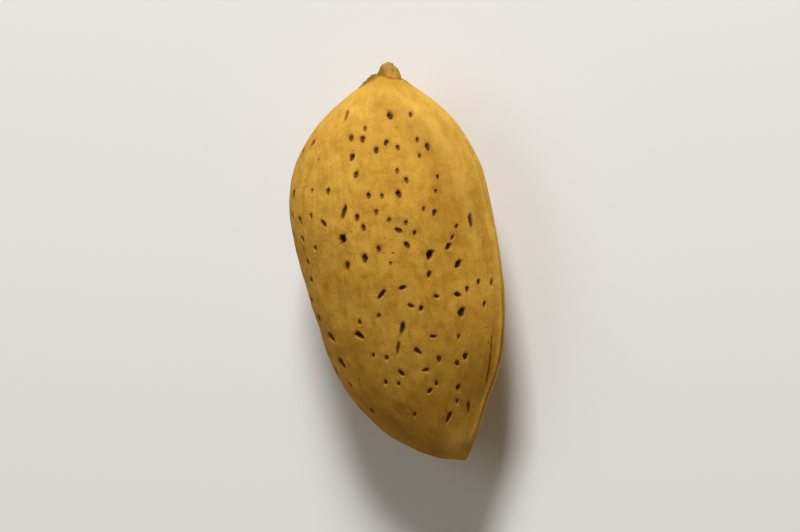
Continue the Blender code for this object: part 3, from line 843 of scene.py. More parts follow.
@dataclass
class SphereGrid:
    """A closed grid of squares on a unit sphere, laid finer where small marks lie."""

    form: NutForm
    cells_round: int = 66
    cells_along: int = 112
    pit_margin: float = 0.14 * MM
    fine_margin: float = 0.05 * MM
    seam_reach: float = 0.85 * MM
    furrow_reach: float = 0.48 * MM
    stem_reach: float = 3.0 * MM

    def lattice(self) -> tuple[np.ndarray, np.ndarray]:
        """Lays a closed grid on a box and rounds it to the sphere.

        Returns:
            The points, and the four point numbers of each square.
        """
        counts = np.array([self.cells_along, self.cells_round, self.cells_round])
        squares = []
        for axis in range(3):
            first, second = (axis + 1) % 3, (axis + 2) % 3
            u, v = np.meshgrid(np.arange(counts[first]), np.arange(counts[second]), indexing="ij")
            for level in (0, counts[axis]):
                steps = ((0, 0), (1, 0), (1, 1), (0, 1))
                if not level:
                    steps = ((0, 0), (0, 1), (1, 1), (1, 0))
                corners = np.zeros(u.shape + (4, 3), int)
                for number, (step_u, step_v) in enumerate(steps):
                    corners[..., number, axis] = level
                    corners[..., number, first] = u + step_u
                    corners[..., number, second] = v + step_v
                squares.append(corners.reshape(-1, 4, 3))
        corners = np.concatenate(squares)
        places, numbers = np.unique(corners.reshape(-1, 3), axis=0, return_inverse=True)
        points = np.tan((places / counts * 2.0 - 1.0) * (math.pi / 4.0))
        points /= np.linalg.norm(points, axis=1)[:, None]
        return points, numbers.reshape(-1, 4)

    def on_nut(self, shape: bmesh.types.BMesh) -> np.ndarray:
        """Finds where the grid's points come to lie.

        Args:
            shape: the grid.

        Returns:
            Their places on the smooth nut.
        """
        points = np.array([corner.co for corner in shape.verts])
        points /= np.linalg.norm(points, axis=1)[:, None]
        turns = np.arctan2(points[:, 2], points[:, 1])
        return self.form.points((points[:, 0] + 1.0) / 2.0, turns)

    @staticmethod
    def within(places: np.ndarray, marks: np.ndarray, reaches: np.ndarray) -> np.ndarray:
        """Tells which places lie within reach of their nearest mark.

        Args:
            places: the places.
            marks: the marks' places.
            reaches: how far each mark reaches.

        Returns:
            True or false for each place.
        """
        tree = KDTree(len(marks))
        for number, mark in enumerate(marks):
            tree.insert(mark, number)
        tree.balance()
        near = np.zeros(len(places), bool)
        for number, place in enumerate(places):
            _, nearest, gap = tree.find(place)
            near[number] = gap < reaches[nearest]
        return near

    def refine(self, shape: bmesh.types.BMesh, wanted: np.ndarray) -> None:
        """Splits in two every edge between two wanted points, and the squares with them.

        Args:
            shape: the grid.
            wanted: true or false for each of its points.
        """
        shape.verts.ensure_lookup_table()
        edges = [edge for edge in shape.edges if all(wanted[corner.index] for corner in edge.verts)]
        bmesh.ops.subdivide_edges(shape, edges=edges, cuts=1, use_grid_fill=True)
        shape.verts.index_update()

    def mesh(self, pits: tuple, furrows: np.ndarray, seam: np.ndarray) -> bpy.types.Mesh:
        """Makes the grid.

        Args:
            pits: the pits' middles and their half lengths.
            furrows: points along the furrows.
            seam: points along the keel's seam.

        Returns:
            The grid's mesh.
        """
        points, squares = self.lattice()
        mesh = bpy.data.meshes.new("almond_grid")
        mesh.from_pydata(points.tolist(), [], squares.tolist())
        shape = bmesh.new()
        shape.from_mesh(mesh)
        middles, half_lengths = pits
        stem = self.form.points(0.0, 0.0)
        places = self.on_nut(shape)
        wanted = self.within(places, middles, half_lengths + self.pit_margin)
        wanted |= self.within(places, furrows, np.full(len(furrows), self.furrow_reach))
        wanted |= self.within(places, seam, np.full(len(seam), self.seam_reach))
        wanted |= np.linalg.norm(places - stem, axis=1) < self.stem_reach
        self.refine(shape, wanted)
        places = self.on_nut(shape)
        wanted = self.within(places, middles, half_lengths + self.fine_margin)
        self.refine(shape, wanted)
        shape.to_mesh(mesh)
        shape.free()
        return mesh


@dataclass
class ShellTree:
    """The Geometry Nodes tree that grows the shell's skin."""

    form: NutForm
    rest: RestSpot
    knob_rise: float = 0.42 * MM
    knob_radius: float = 1.10 * MM
    knob_flat: float = 0.70
    stalk_rise: float = 0.48 * MM
    stalk_middle: float = -0.80 * MM
    stalk_half_length: float = 2.70 * MM
    stalk_half_width: float = 1.90 * MM
    stalk_flat: float = 0.30
    torn_middle: float = -1.70 * MM
    torn_half_length: float = 2.20 * MM
    torn_half_width: float = 2.00 * MM
    collar_radius: float = 1.32 * MM
    collar_width: float = 0.20 * MM
    collar_depth: float = 0.16 * MM
    lip_offset: float = 0.52 * MM
    lip_width: float = 0.26 * MM
    lip_height: float = 0.15 * MM
    grain_height: float = 0.050 * MM
    lump_height: float = 0.16 * MM
    wrinkle_height: float = 0.45 * MM
    ridge_offset: float = 2.60 * MM
    ridge_width: float = 0.65 * MM
    ridge_height: float = 0.14 * MM
    hollow_offset: float = 4.60 * MM
    hollow_width: float = 1.20 * MM
    hollow_depth: float = 0.16 * MM
    beak_offset: float = 2.10 * MM
    beak_width: float = 0.95 * MM
    beak_fade: tuple = (4.6 * MM, 2.2 * MM)
    stem_fade: tuple = (0.03, 0.10)
    tip_fade: tuple = (0.99, 0.90)
    shoulder_fade: tuple = (0.60, 0.38)
    pit_rim_height: float = 0.03 * MM
    scar_roughness: float = 0.6 * MM
    rest_fade: tuple = (0.05 * MM, 0.5 * MM)

    def inputs(self) -> dict[str, tuple[str, Any]]:
        """Gives the tree's named inputs, each with its socket type and its value."""
        return {
            "Length": ("NodeSocketFloat", self.form.length),
            "Stem height": ("NodeSocketFloat", self.form.stem_height),
            "Back reach": ("NodeSocketFloat", self.form.back.reach),
            "Keel reach": ("NodeSocketFloat", self.form.keel.reach),
            "Half thickness": ("NodeSocketFloat", self.form.thickness.reach),
            "Rest floor": ("NodeSocketFloat", self.rest.floor),
            "Knob rise": ("NodeSocketFloat", self.knob_rise),
            "Stalk rise": ("NodeSocketFloat", self.stalk_rise),
            "Grain height": ("NodeSocketFloat", self.grain_height),
            "Lump height": ("NodeSocketFloat", self.lump_height),
            "Wrinkle height": ("NodeSocketFloat", self.wrinkle_height),
        }

    def build(
        self,
        grid: bpy.types.Mesh,
        markers: dict[str, bpy.types.Object],
        finish: bpy.types.Material,
    ) -> bpy.types.Object:
        """Grows the shell and gives it as a plain mesh object.

        Args:
            grid: the closed grid on a unit sphere that the skin is made of.
            markers: the marker objects for the pits, the furrows and the seam, by input name.
            finish: the shell's material.

        Returns:
            The shell, still in the formula's own frame.
        """
        group = bpy.data.node_groups.new("almond shell", "GeometryNodeTree")
        tree = Tree(group)
        group.interface.new_socket("Geometry", in_out="OUTPUT", socket_type="NodeSocketGeometry")
        group.interface.new_socket("Grid", in_out="INPUT", socket_type="NodeSocketGeometry")
        values = self.inputs()
        values.update({name: ("NodeSocketObject", marker) for name, marker in markers.items()})
        values["Finish"] = ("NodeSocketMaterial", finish)
        identifiers = {}
        for name, (kind, _) in values.items():
            socket = group.interface.new_socket(name, in_out="INPUT", socket_type=kind)
            identifiers[name] = socket.identifier
        given = tree.node("NodeGroupInput").outputs
        skin = self.smooth_skin(tree, given)
        skin = self.sink_in(tree, given, skin)
        skin = tree.node("GeometryNodeSetShadeSmooth", {"Geometry": skin}).outputs[0]
        skin = tree.node("GeometryNodeRealizeInstances", {"Geometry": skin}).outputs[0]
        wires = {"Geometry": skin, "Material": given["Finish"]}
        skin = tree.node("GeometryNodeSetMaterial", wires).outputs[0]
        tree.node("NodeGroupOutput", {"Geometry": skin})

        carrier = bpy.data.objects.new("shell carrier", grid)
        bpy.context.scene.collection.objects.link(carrier)
        modifier = carrier.modifiers.new("shell", "NODES")
        modifier.node_group = group
        for name, (_, value) in values.items():
            modifier[identifiers[name]] = value
        bpy.context.view_layer.update()
        evaluated = carrier.evaluated_get(bpy.context.evaluated_depsgraph_get())
        mesh = bpy.data.meshes.new_from_object(evaluated)
        mesh.name = "almond_shell"
        carrier.modifiers.remove(modifier)
        bpy.data.objects.remove(carrier, do_unlink=True)
        shell = bpy.data.objects.new("almond_shell", mesh)
        bpy.context.scene.collection.objects.link(shell)
        return shell

    def smooth_skin(self, tree: Tree, given: Any) -> Any:
        """Moves a closed grid to the smooth form, and keeps each point's share of the length.

        Args:
            tree: the tree.
            given: the tree's inputs.

        Returns:
            The smooth skin.
        """
        place = tree.node("GeometryNodeInputPosition").outputs[0]
        x, y, z = tree.parts(tree.vector_math("NORMALIZE", place))
        share = (x + 1.0) * 0.5
        turn = tree.math("ARCTAN2", z, y)
        maths = NodeMaths(tree)
        form = replace(
            self.form,
            length=Value(tree, given["Length"]),
            stem_height=Value(tree, given["Stem height"]),
            back=replace(self.form.back, reach=Value(tree, given["Back reach"])),
            keel=replace(self.form.keel, reach=Value(tree, given["Keel reach"])),
            thickness=replace(self.form.thickness, reach=Value(tree, given["Half thickness"])),
        )
        skin = self.keep(tree, given["Grid"], "share", share)
        fibre = tree.vector(x * (0.5 * self.form.length), maths.cos(turn), maths.sin(turn))
        skin = self.keep(tree, skin, "fibre", fibre, "FLOAT_VECTOR")
        point = tree.vector(*form.point(share, turn, maths))
        return tree.node("GeometryNodeSetPosition", {"Geometry": skin, "Position": point}).outputs[0]

    @staticmethod
    def keep(tree: Tree, skin: Any, name: str, value: Any, kind: str = "FLOAT") -> Any:
        """Stores a value on the skin's points under a name and gives the skin."""
        wires = {"Geometry": skin, "Name": name, "Value": value}
        return tree.node("GeometryNodeStoreNamedAttribute", wires, data_type=kind).outputs[0]

    @staticmethod
    def mark(tree: Tree, name: str, kind: str = "FLOAT") -> Any:
        """Reads a named value of the skin's or a marker's points."""
        made = tree.node("GeometryNodeInputNamedAttribute", {"Name": name}, data_type=kind)
        return Value(tree, made.outputs[0]) if kind == "FLOAT" else made.outputs[0]

    def nearest(self, tree: Tree, marker: Any, place: Any, names: tuple[str, ...]) -> list[Any]:
        """Gives the nearest marker's place and its marks, for each point of the skin.

        Args:
            tree: the tree.
            marker: the input that gives the marker object.
            place: where each point of the skin is taken to be.
            names: the vector marks to read.

        Returns:
            The marker's place, then its marks in order.
        """
        points = tree.node("GeometryNodeObjectInfo", {"Object": marker}).outputs["Geometry"]
        wires = {"Geometry": points, "Sample Position": place}
        index = tree.node("GeometryNodeSampleNearest", wires).outputs[0]
        fields = [tree.node("GeometryNodeInputPosition").outputs[0]]
        fields += [self.mark(tree, name, "FLOAT_VECTOR") for name in names]
        found = []
        for field in fields:
            wires = {"Geometry": points, "Value": field, "Index": index}
            sample = tree.node("GeometryNodeSampleIndex", wires, data_type="FLOAT_VECTOR")
            found.append(sample.outputs[0])
        return found

    def pits(self, tree: Tree, given: Any, place: Any, ragged: Value) -> tuple[Value, ...]:
        """Works out how each point lies at its nearest pit.

        Args:
            tree: the tree.
            given: the tree's inputs.
            place: where each point of the skin is.
            ragged: the noise that makes the rims ragged.

        Returns:
            The shade, the stain, the depth and the pit's tone.
        """
        names = ("pit_long_way", "pit_round_way", "pit_half_sizes", "pit_tone")
        marks = self.nearest(tree, given["Pit markers"], place, names)
        middle, long_way, round_way, sizes, tones = marks
        half_length, half_width, depth = tree.parts(sizes)
        away = tree.vector_math("SUBTRACT", place, middle)
        along = tree.vector_math("DOT_PRODUCT", away, long_way, output="Value") / half_length
        across = tree.vector_math("DOT_PRODUCT", away, round_way, output="Value") / half_width
        across = across * (1.0 + 0.22 * along)
        out = tree.math("SQRT", along * along + across * across)
        out = out + (ragged - 0.5) * 0.9 * tree.ease(out, 0.1, 0.9)
        shade = 1.0 - tree.ease(out, 0.40, 1.10)
        stain = 1.0 - tree.ease(out, 0.70, 1.70)
        rim = tree.bell(out, 1.30, 0.30) * self.pit_rim_height
        return shade, stain, shade * depth - rim, tree.parts(tones)[0]

    def furrows(self, tree: Tree, marker: Any, place: Any, ragged: Value) -> tuple[Value, ...]:
        """Works out how each point lies at its nearest furrow.

        Args:
            tree: the tree.
            marker: the input that gives the marker object.
            place: where each point of the skin is.
            ragged: the noise that makes the sides ragged.

        Returns:
            The shade, the depth and the distance.
        """
        middle, sizes = self.nearest(tree, marker, place, ("furrow_size",))
        half_width, depth, tone = tree.parts(sizes)
        away = tree.distance(place, middle)
        out = away / half_width + (ragged - 0.5) * 0.8
        shade = 1.0 - tree.ease(out, 0.15, 1.05)
        return shade * tone, shade * depth, away

    def stem_end(self, tree: Tree, from_stem: Value, place: Any, ragged: Value) -> tuple[Value, ...]:
        """Works out the marks of the stem's scar.

        Args:
            tree: the tree.
            from_stem: each point's distance from the stem.
            place: where each point of the skin is.
            ragged: the noise that makes the edges ragged.

        Returns:
            The knob, the torn stalk's mound, its bare torn side and the knob's hollow collar.
        """
        knob = 1.0 - tree.ease(from_stem / self.knob_radius, self.knob_flat, 1.0)
        near_stem = tree.math("LESS_THAN", from_stem, 6.0 * MM)
        sizes = (self.stalk_middle, self.stalk_half_length, self.stalk_half_width)
        stalk = self.oval(tree, place, *sizes)
        stalk = (1.0 - tree.ease(stalk + (ragged - 0.5) * 0.35, self.stalk_flat, 1.0)) * near_stem
        sizes = (self.torn_middle, self.torn_half_length, self.torn_half_width)
        torn = self.oval(tree, place, *sizes)
        torn = (1.0 - tree.ease(torn + (ragged - 0.5) * 0.45, 0.55, 1.05)) * near_stem
        swayed = from_stem + (ragged - 0.5) * (0.4 * MM)
        collar = tree.bell(swayed, self.collar_radius, self.collar_width)
        return knob, stalk, torn, collar

    @staticmethod
    def wrinkles(tree: Tree, fibre: Any, keel_gap: Value) -> Value:
        """Works out the long wrinkles beside the keel and along the back.

        Args:
            tree: the tree.
            fibre: each point's fibre mark.
            keel_gap: each point's distance from the keel's seam.

        Returns:
            Their height, from -0.5 to 0.5.
        """
        _, cos_turn, sin_turn = tree.parts(fibre)
        folds = tree.noise(tree.streaky(fibre, 0.13), 0.9 / MM, 2.0, 0.45)
        keelward = tree.bell(keel_gap, 0.0, 3.4 * MM) * tree.ease(sin_turn, 0.42, 0.08)
        backward = tree.ease(cos_turn, -0.86, -0.98)
        return (folds - 0.5) * tree.math("MAXIMUM", keelward, backward)

    def shoulder(self, tree: Tree, share: Value, keel_gap: Value) -> tuple[Value, Value]:
        """Works out the shoulder beside the keel in the stem half.

        Args:
            tree: the tree.
            share: each point's share of the length.
            keel_gap: each point's distance from the keel's seam.

        Returns:
            The soft ridge, and the hollow on its inner side.
        """
        stem_half = tree.ease(share, *self.stem_fade) * tree.ease(share, *self.shoulder_fade)
        ridge = tree.bell(keel_gap, self.ridge_offset, self.ridge_width) * stem_half
        hollow = tree.bell(keel_gap, self.hollow_offset, self.hollow_width) * stem_half
        return ridge, hollow

    @staticmethod
    def oval(tree: Tree, place: Any, middle: float, half_length: float, half_width: float) -> Value:
        """Works out how far out a place lies in an oval at the stem, seen along X.

        Args:
            tree: the tree.
            place: where each point of the skin is.
            middle: the oval's middle, along Y.
            half_length: its half length, along Y.
            half_width: its half width, along Z.

        Returns:
            A number that is 1 on the oval's edge.
        """
        _, y, z = tree.parts(place)
        along, across = (y - middle) / half_length, z / half_width
        return tree.math("SQRT", along * along + across * across)

    def sink_in(self, tree: Tree, given: Any, skin: Any) -> Any:
        """Sinks the relief into the smooth skin, flattens the rest spot and keeps the marks.

        Args:
            tree: the tree.
            given: the tree's inputs.
            skin: the smooth skin.

        Returns:
            The finished skin.
        """
        place = tree.node("GeometryNodeInputPosition").outputs[0]
        normal = tree.node("GeometryNodeInputNormal").outputs[0]
        fibre = self.mark(tree, "fibre", "FLOAT_VECTOR")
        share = self.mark(tree, "share")
        ragged = tree.noise(place, 2.2 / MM, 2.0)
        pit_shade, pit_stain, pit_depth, pit_tone = self.pits(tree, given, place, ragged)
        lines = self.furrows(tree, given["Furrow markers"], place, ragged)
        furrow_shade, furrow_depth, _ = lines
        lines = self.furrows(tree, given["Seam markers"], place, ragged)
        seam_shade, seam_depth, keel_gap = lines
        from_stem = tree.distance(place, tree.vector(given["Stem height"], 0.0, 0.0))
        from_tip = tree.distance(place, tree.vector(given["Length"], 0.0, 0.0))
        knob, stalk, torn, collar = self.stem_end(tree, from_stem, place, ragged)

        lips = tree.bell(keel_gap, self.lip_offset, self.lip_width)
        lips = lips * tree.ease(share, *self.stem_fade) * tree.ease(share, *self.tip_fade)
        ridge, hollow = self.shoulder(tree, share, keel_gap)
        beak = tree.bell(keel_gap, self.beak_offset, self.beak_width)
        beak = beak * tree.ease(from_tip, *self.beak_fade)
        rest_floor = Value(tree, given["Rest floor"])
        over_rest = tree.ease(tree.parts(place)[2] - rest_floor, *self.rest_fade)
        off_ends = tree.ease(from_stem, 1.5 * MM, 4.0 * MM) * tree.ease(from_tip, 0.8 * MM, 3.0 * MM)

        streaks = tree.noise(tree.streaky(fibre, 0.30), 1.5 / MM, 3.0)
        grain = tree.noise(place, 3.2 / MM, 3.0, 0.6)
        lumps = tree.noise(place, 0.33 / MM, 1.5)
        grain_height = Value(tree, given["Grain height"])
        lump_height = Value(tree, given["Lump height"])
        raised = (streaks - 0.5) * grain_height * 2.0 + (grain - 0.5) * grain_height
        raised = raised + (lumps - 0.5) * lump_height * off_ends + lips * self.lip_height
        raised = raised + ridge * self.ridge_height - hollow * self.hollow_depth
        scar = tree.math("MAXIMUM", stalk, torn)
        raised = raised + (grain - 0.5) * scar * self.scar_roughness
        wrinkles = self.wrinkles(tree, fibre, keel_gap) * off_ends
        raised = raised + wrinkles * Value(tree, given["Wrinkle height"])
        sunk = tree.math("MAXIMUM", pit_depth, furrow_depth)
        sunk = tree.math("MAXIMUM", sunk, seam_depth)
        depth = (sunk - raised) * over_rest + collar * self.collar_depth
        offset = tree.scaled(normal, -depth)
        rise = knob * Value(tree, given["Knob rise"]) + stalk * Value(tree, given["Stalk rise"])
        offset = tree.vector_math("ADD", offset, tree.vector(-rise, 0.0, 0.0))

        for name, value in (
            ("pit", pit_shade * over_rest),
            ("pit_stain", pit_stain * over_rest),
            ("pit_tone", pit_tone),
            ("furrow", tree.math("MAXIMUM", furrow_shade, seam_shade) * over_rest),
            ("keel", tree.bell(keel_gap, 0.0, 1.1 * MM)),
            ("lip", lips),
            ("ridge", ridge),
            ("hollow", hollow),
            ("beak", beak),
            ("knob", knob),
            ("torn", torn),
            ("collar", collar),
            ("from_stem", from_stem / MM),
            ("from_tip", from_tip / MM),
        ):
            skin = self.keep(tree, skin, name, value)
        wires = {"Geometry": skin, "Offset": offset}
        skin = tree.node("GeometryNodeSetPosition", wires).outputs[0]
        x, y, z = tree.parts(tree.node("GeometryNodeInputPosition").outputs[0])
        settled = tree.vector(x, y, tree.math("MAXIMUM", z, rest_floor))
        wires = {"Geometry": skin, "Position": settled}
        return tree.node("GeometryNodeSetPosition", wires).outputs[0]


class Mottling(NamedTuple):
    """The noises that the shell's colours follow, from the widest to the finest."""

    clouds: Value
    patches: Value
    streaks: Value
    grain: Value


class Tint(NamedTuple):
    """A colour laid over the shell up to a share, where a value passes from low to high."""

    value: Value
    low: float
    high: float
    share: float
    colour: tuple


@dataclass(frozen=True)
class ShellFinish:
    """The dry golden shell: mottled and faintly fibred, dark in its pits and pale on its knob."""

    bright: tuple = (0.64, 0.354, 0.047, 1.0)
    common: tuple = (0.54, 0.272, 0.029, 1.0)
    # The shell's darker tone, also used as painted shade towards the tip and in the shoulder's hollow;
    # its warm, saturated hue stands for warm light in shade.
    dull_and_shade: tuple = (0.31, 0.134, 0.008, 1.0)
    pit: tuple = (0.060, 0.024, 0.006, 1.0)
    pit_rim: tuple = (0.26, 0.115, 0.015, 1.0)
    furrow: tuple = (0.120, 0.048, 0.009, 1.0)
    knob: tuple = (0.40, 0.235, 0.056, 1.0)
    torn: tuple = (0.17, 0.088, 0.009, 1.0)
    # The pale tan of rubbed shell, also used as painted light near the stem and as a painted highlight
    # on the shoulder's ridge.
    worn_and_painted_light: tuple = (0.74, 0.450, 0.085, 1.0)
    roughness: float = 0.84
    roughness_spread: float = 0.08
    specular: float = 0.08
    speck_radius: float = 0.13
    speck_share: float = 0.50
    # The reach and share of the darkening towards the tip: partly the tip's own darker colour, partly
    # painted shade.
    tipward: tuple = (17.0, 3.0)
    tipward_share: float = 0.45
    bump_strength: float = 0.70
    bump_distance: float = 0.08 * MM

    def make(self) -> bpy.types.Material:
        """Builds the material.

        Returns:
            The material, for the whole shell.
        """
        material = bpy.data.materials.new("almond shell")
        material.use_nodes = True
        tree = Tree(material.node_tree)
        shader = material.node_tree.nodes["Principled BSDF"]
        place = tree.node("ShaderNodeTexCoord").outputs["Object"]
        fibre = tree.node("ShaderNodeAttribute", attribute_name="fibre").outputs["Vector"]
        noises = Mottling(
            clouds=tree.noise(place, 0.22 / MM, 3.0, 0.55),
            patches=tree.noise(place, 0.9 / MM, 4.0, 0.6),
            streaks=tree.noise(tree.streaky(fibre, 0.22), 2.4 / MM, 4.0, 0.6),
            grain=tree.noise(place, 7.0 / MM, 3.0, 0.65),
        )
        specks = self.specks(tree, place)
        colour = self.mottled(tree, noises)
        colour = self.marked(tree, colour, noises)
        colour = self.mix(tree, specks * self.speck_share, colour, self.furrow)
        colour = self.pitted(tree, colour, noises.grain)
        tree.wire(shader.inputs["Base Color"], colour)

        low, high = self.roughness - self.roughness_spread, self.roughness + self.roughness_spread
        tree.wire(shader.inputs["Roughness"], tree.ease(noises.grain, 0.2, 0.8, low, high))
        shader.inputs["Specular IOR Level"].default_value = self.specular
        relief = noises.grain * 0.50 + noises.streaks * 0.45 - specks * 0.8
        wires = {"Height": relief, "Strength": self.bump_strength, "Distance": self.bump_distance}
        bump = tree.node("ShaderNodeBump", wires)
        tree.wire(shader.inputs["Normal"], bump.outputs["Normal"])
        return material

    def mottled(self, tree: Tree, noises: Mottling) -> Any:
        """Colours the bare shell, paler near the stem with painted light, and darker towards the tip,
        partly the tip's own colour and partly painted shade.

        Args:
            tree: the material's tree.
            noises: the noises that the colours follow.

        Returns:
            The colour.
        """
        from_stem, from_tip = self.mark(tree, "from_stem"), self.mark(tree, "from_tip")
        stem_edge = from_stem + (noises.patches - 0.5) * 3.0
        tip_edge = from_tip + (noises.streaks - 0.5) * 6.0
        tints = (
            Tint(noises.clouds, 0.30, 0.70, 1.0, self.bright),
            Tint(noises.patches, 0.42, 0.70, 0.55, self.dull_and_shade),
            Tint(noises.patches, 0.46, 0.24, 0.50, self.worn_and_painted_light),
            Tint(noises.streaks, 0.50, 0.78, 0.55, self.dull_and_shade),
            Tint(noises.streaks, 0.45, 0.20, 0.35, self.worn_and_painted_light),
            Tint(noises.grain, 0.45, 0.80, 0.40, self.dull_and_shade),
            Tint(noises.grain, 0.55, 0.20, 0.30, self.worn_and_painted_light),
            # Painted light: the shell is paler within about 15 mm of the stem.
            Tint(from_stem, 15.0, 2.0, 0.25, self.worn_and_painted_light),
            # Darker towards the tip: partly the tip's own darker colour, partly painted shade.
            Tint(from_tip, *self.tipward, self.tipward_share, self.dull_and_shade),
            Tint(stem_edge, 3.6, 1.2, 0.30, self.dull_and_shade),
            Tint(tip_edge, 4.5, 0.5, 0.70, self.pit_rim),
        )
        return self.layered(tree, self.common, tints)

    def marked(self, tree: Tree, colour: Any, noises: Mottling) -> Any:
        """Colours the keel, the beak, the shoulder, the stem's scar and the furrows; on the shoulder it
        paints a highlight on the ridge and shade in the hollow.

        Args:
            tree: the material's tree.
            colour: the bare shell's colour.
            noises: the noises that the colours follow.

        Returns:
            The colour.
        """
        for name, share, tint in (
            ("keel", 0.22, self.worn_and_painted_light),
            ("beak", 0.50, self.worn_and_painted_light),
            ("lip", 0.30, self.worn_and_painted_light),
            # Painted highlight on the shoulder's soft ridge, and painted shade in the hollow on its
            # inner side.
            ("ridge", 0.40, self.worn_and_painted_light),
            ("hollow", 0.28, self.dull_and_shade),
        ):
            colour = self.mix(tree, self.mark(tree, name) * share, colour, tint)
        rough = noises.grain - 0.5
        knob = self.mark(tree, "knob") + (noises.patches - 0.5) * 0.7 + rough * 0.5
        tints = (
            Tint(self.mark(tree, "torn") + rough * 0.9, 0.15, 0.85, 0.80, self.torn),
            Tint(knob, 0.10, 0.85, 0.90, self.knob),
            Tint(self.mark(tree, "collar") + rough * 0.7, 0.35, 0.95, 0.50, self.torn),
            Tint(self.mark(tree, "furrow") + rough * 0.4, 0.10, 0.85, 0.80, self.furrow),
        )
        return self.layered(tree, colour, tints)

    def pitted(self, tree: Tree, colour: Any, grain: Value) -> Any:
        """Stains the shell round the pits and darkens the pits, less so near the tip, where the pits are
        painted paler to make up for the shade that falls in them.

        Args:
            tree: the material's tree.
            colour: the shell's colour between the pits.
            grain: the noise that breaks up the pits' edges.

        Returns:
            The colour.
        """
        # Painted light: the pits are painted paler towards the tip, offsetting the shade that falls in
        # them there.
        tipward = tree.ease(self.mark(tree, "from_tip"), *self.tipward)
        tone = self.mark(tree, "pit_tone") * (1.0 - tipward * 0.45)
        stain = self.mark(tree, "pit_stain") * tone
        pit = self.mark(tree, "pit") + (grain - 0.5) * 0.35
        colour = self.mix(tree, stain * 0.55, colour, self.pit_rim)
        colour = self.mix(tree, tree.ease(pit, 0.04, 0.40) * 0.60, colour, self.pit_rim)
        return self.mix(tree, tree.ease(pit, 0.25, 0.80) * tone, colour, self.pit)

    def layered(self, tree: Tree, colour: Any, tints: tuple[Tint, ...]) -> Any:
        """Lays tints over a colour, one after another.

        Args:
            tree: the material's tree.
            colour: the colour below.
            tints: the tints, the lowest first.

        Returns:
            The colour.
        """
        for tint in tints:
            share = tree.ease(tint.value, tint.low, tint.high) * tint.share
            colour = self.mix(tree, share, colour, tint.colour)
        return colour

    def specks(self, tree: Tree, place: Any) -> Value:
        """Works out the pin-prick holes between the pits, fewer at the ends and the keel.

        Args:
            tree: the material's tree.
            place: where each point of the skin is.

        Returns:
            Their shade.
        """
        wires = {"Vector": place, "Scale": 0.85 / MM, "Randomness": 1.0}
        cells = tree.node("ShaderNodeTexVoronoi", wires, feature="F1")
        luck = tree.parts(cells.outputs["Color"])[0]
        radius = tree.ease(luck, 0.45, 1.0, 0.01, self.speck_radius)
        shade = 1.0 - tree.ease(Value(tree, cells.outputs["Distance"]) / radius, 0.4, 1.0)
        ends = tree.ease(self.mark(tree, "from_stem"), 3.0, 5.0)
        ends = ends * tree.ease(self.mark(tree, "from_tip"), 3.0, 6.0)
        return shade * ends * (1.0 - self.mark(tree, "keel"))

    @staticmethod
    def mark(tree: Tree, name: str) -> Value:
        """Reads one of the numbers that the shell's nodes kept."""
        return Value(tree, tree.node("ShaderNodeAttribute", attribute_name=name).outputs["Fac"])

    @staticmethod
    def mix(tree: Tree, share: Any, first: Any, second: Any) -> Any:
        """Mixes two colours.

        Args:
            tree: the material's tree.
            share: the second colour's share.
            first: the first colour.
            second: the second colour.

        Returns:
            The mixed colour.
        """
        made = tree.node("ShaderNodeMix", {"Factor": share}, data_type="RGBA")
        tree.wire(made.inputs[6], first)
        tree.wire(made.inputs[7], second)
        return made.outputs[2]


@dataclass
class Almond:
    """The whole nut: its form, the marks on it and its finish."""

    form: NutForm
    finish: ShellFinish

    def build(self) -> bpy.types.Object:
        """Grows the shell and puts it where its solid is.

        Returns:
            The shell.
        """
        rest = RestSpot(self.form)
        furrow_field = FurrowField(self.form)
        furrows, seam = furrow_field.markers()
        pits = PitField(self.form, rest).markers(furrow_field.clear_points())
        LOG.info("pits: %d", len(pits.data.vertices))
        middles = self.vectors(pits, "position")
        half_lengths = self.vectors(pits, "pit_half_sizes")[:, 0]
        lines = self.vectors(furrows, "position"), self.vectors(seam, "position")
        grid = SphereGrid(self.form).mesh((middles, half_lengths), *lines)
        markers = {"Pit markers": pits, "Furrow markers": furrows, "Seam markers": seam}
        shell = ShellTree(self.form, rest).build(grid, markers, self.finish.make())
        for marker in markers.values():
            bpy.data.objects.remove(marker, do_unlink=True)
        self.seat(shell)
        return shell

    @staticmethod
    def vectors(marker: bpy.types.Object, name: str) -> np.ndarray:
        """Reads one vector mark of all the marker points.

        Args:
            marker: the marker object.
            name: the mark's name.

        Returns:
            One row for each point.
        """
        values = np.zeros(3 * len(marker.data.vertices), "f")
        marker.data.attributes[name].data.foreach_get("vector", values)
        return values.reshape(-1, 3)

    @staticmethod
    def seat(shell: bpy.types.Object) -> None:
        """Moves the mesh so that its box has the solid's centre and foot.

        Args:
            shell: the shell, in the formula's own frame.
        """
        corners = np.array([vertex.co for vertex in shell.data.vertices])
        low, high = corners.min(axis=0), corners.max(axis=0)
        solid_low, solid_high = (np.array(corner, float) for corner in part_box("almond"))
        shift = (solid_low + solid_high - low - high) / 2.0
        shift[2] = solid_low[2] - low[2]
        shell.data.transform(Matrix.Translation(Vector(shift)))

    @staticmethod
    def dress(shell: bpy.types.Object) -> None:
        """Lets the shell stand for the solid and move with it.

        Args:
            shell: the shell.
        """
        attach(shell, "root")
        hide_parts("almond")


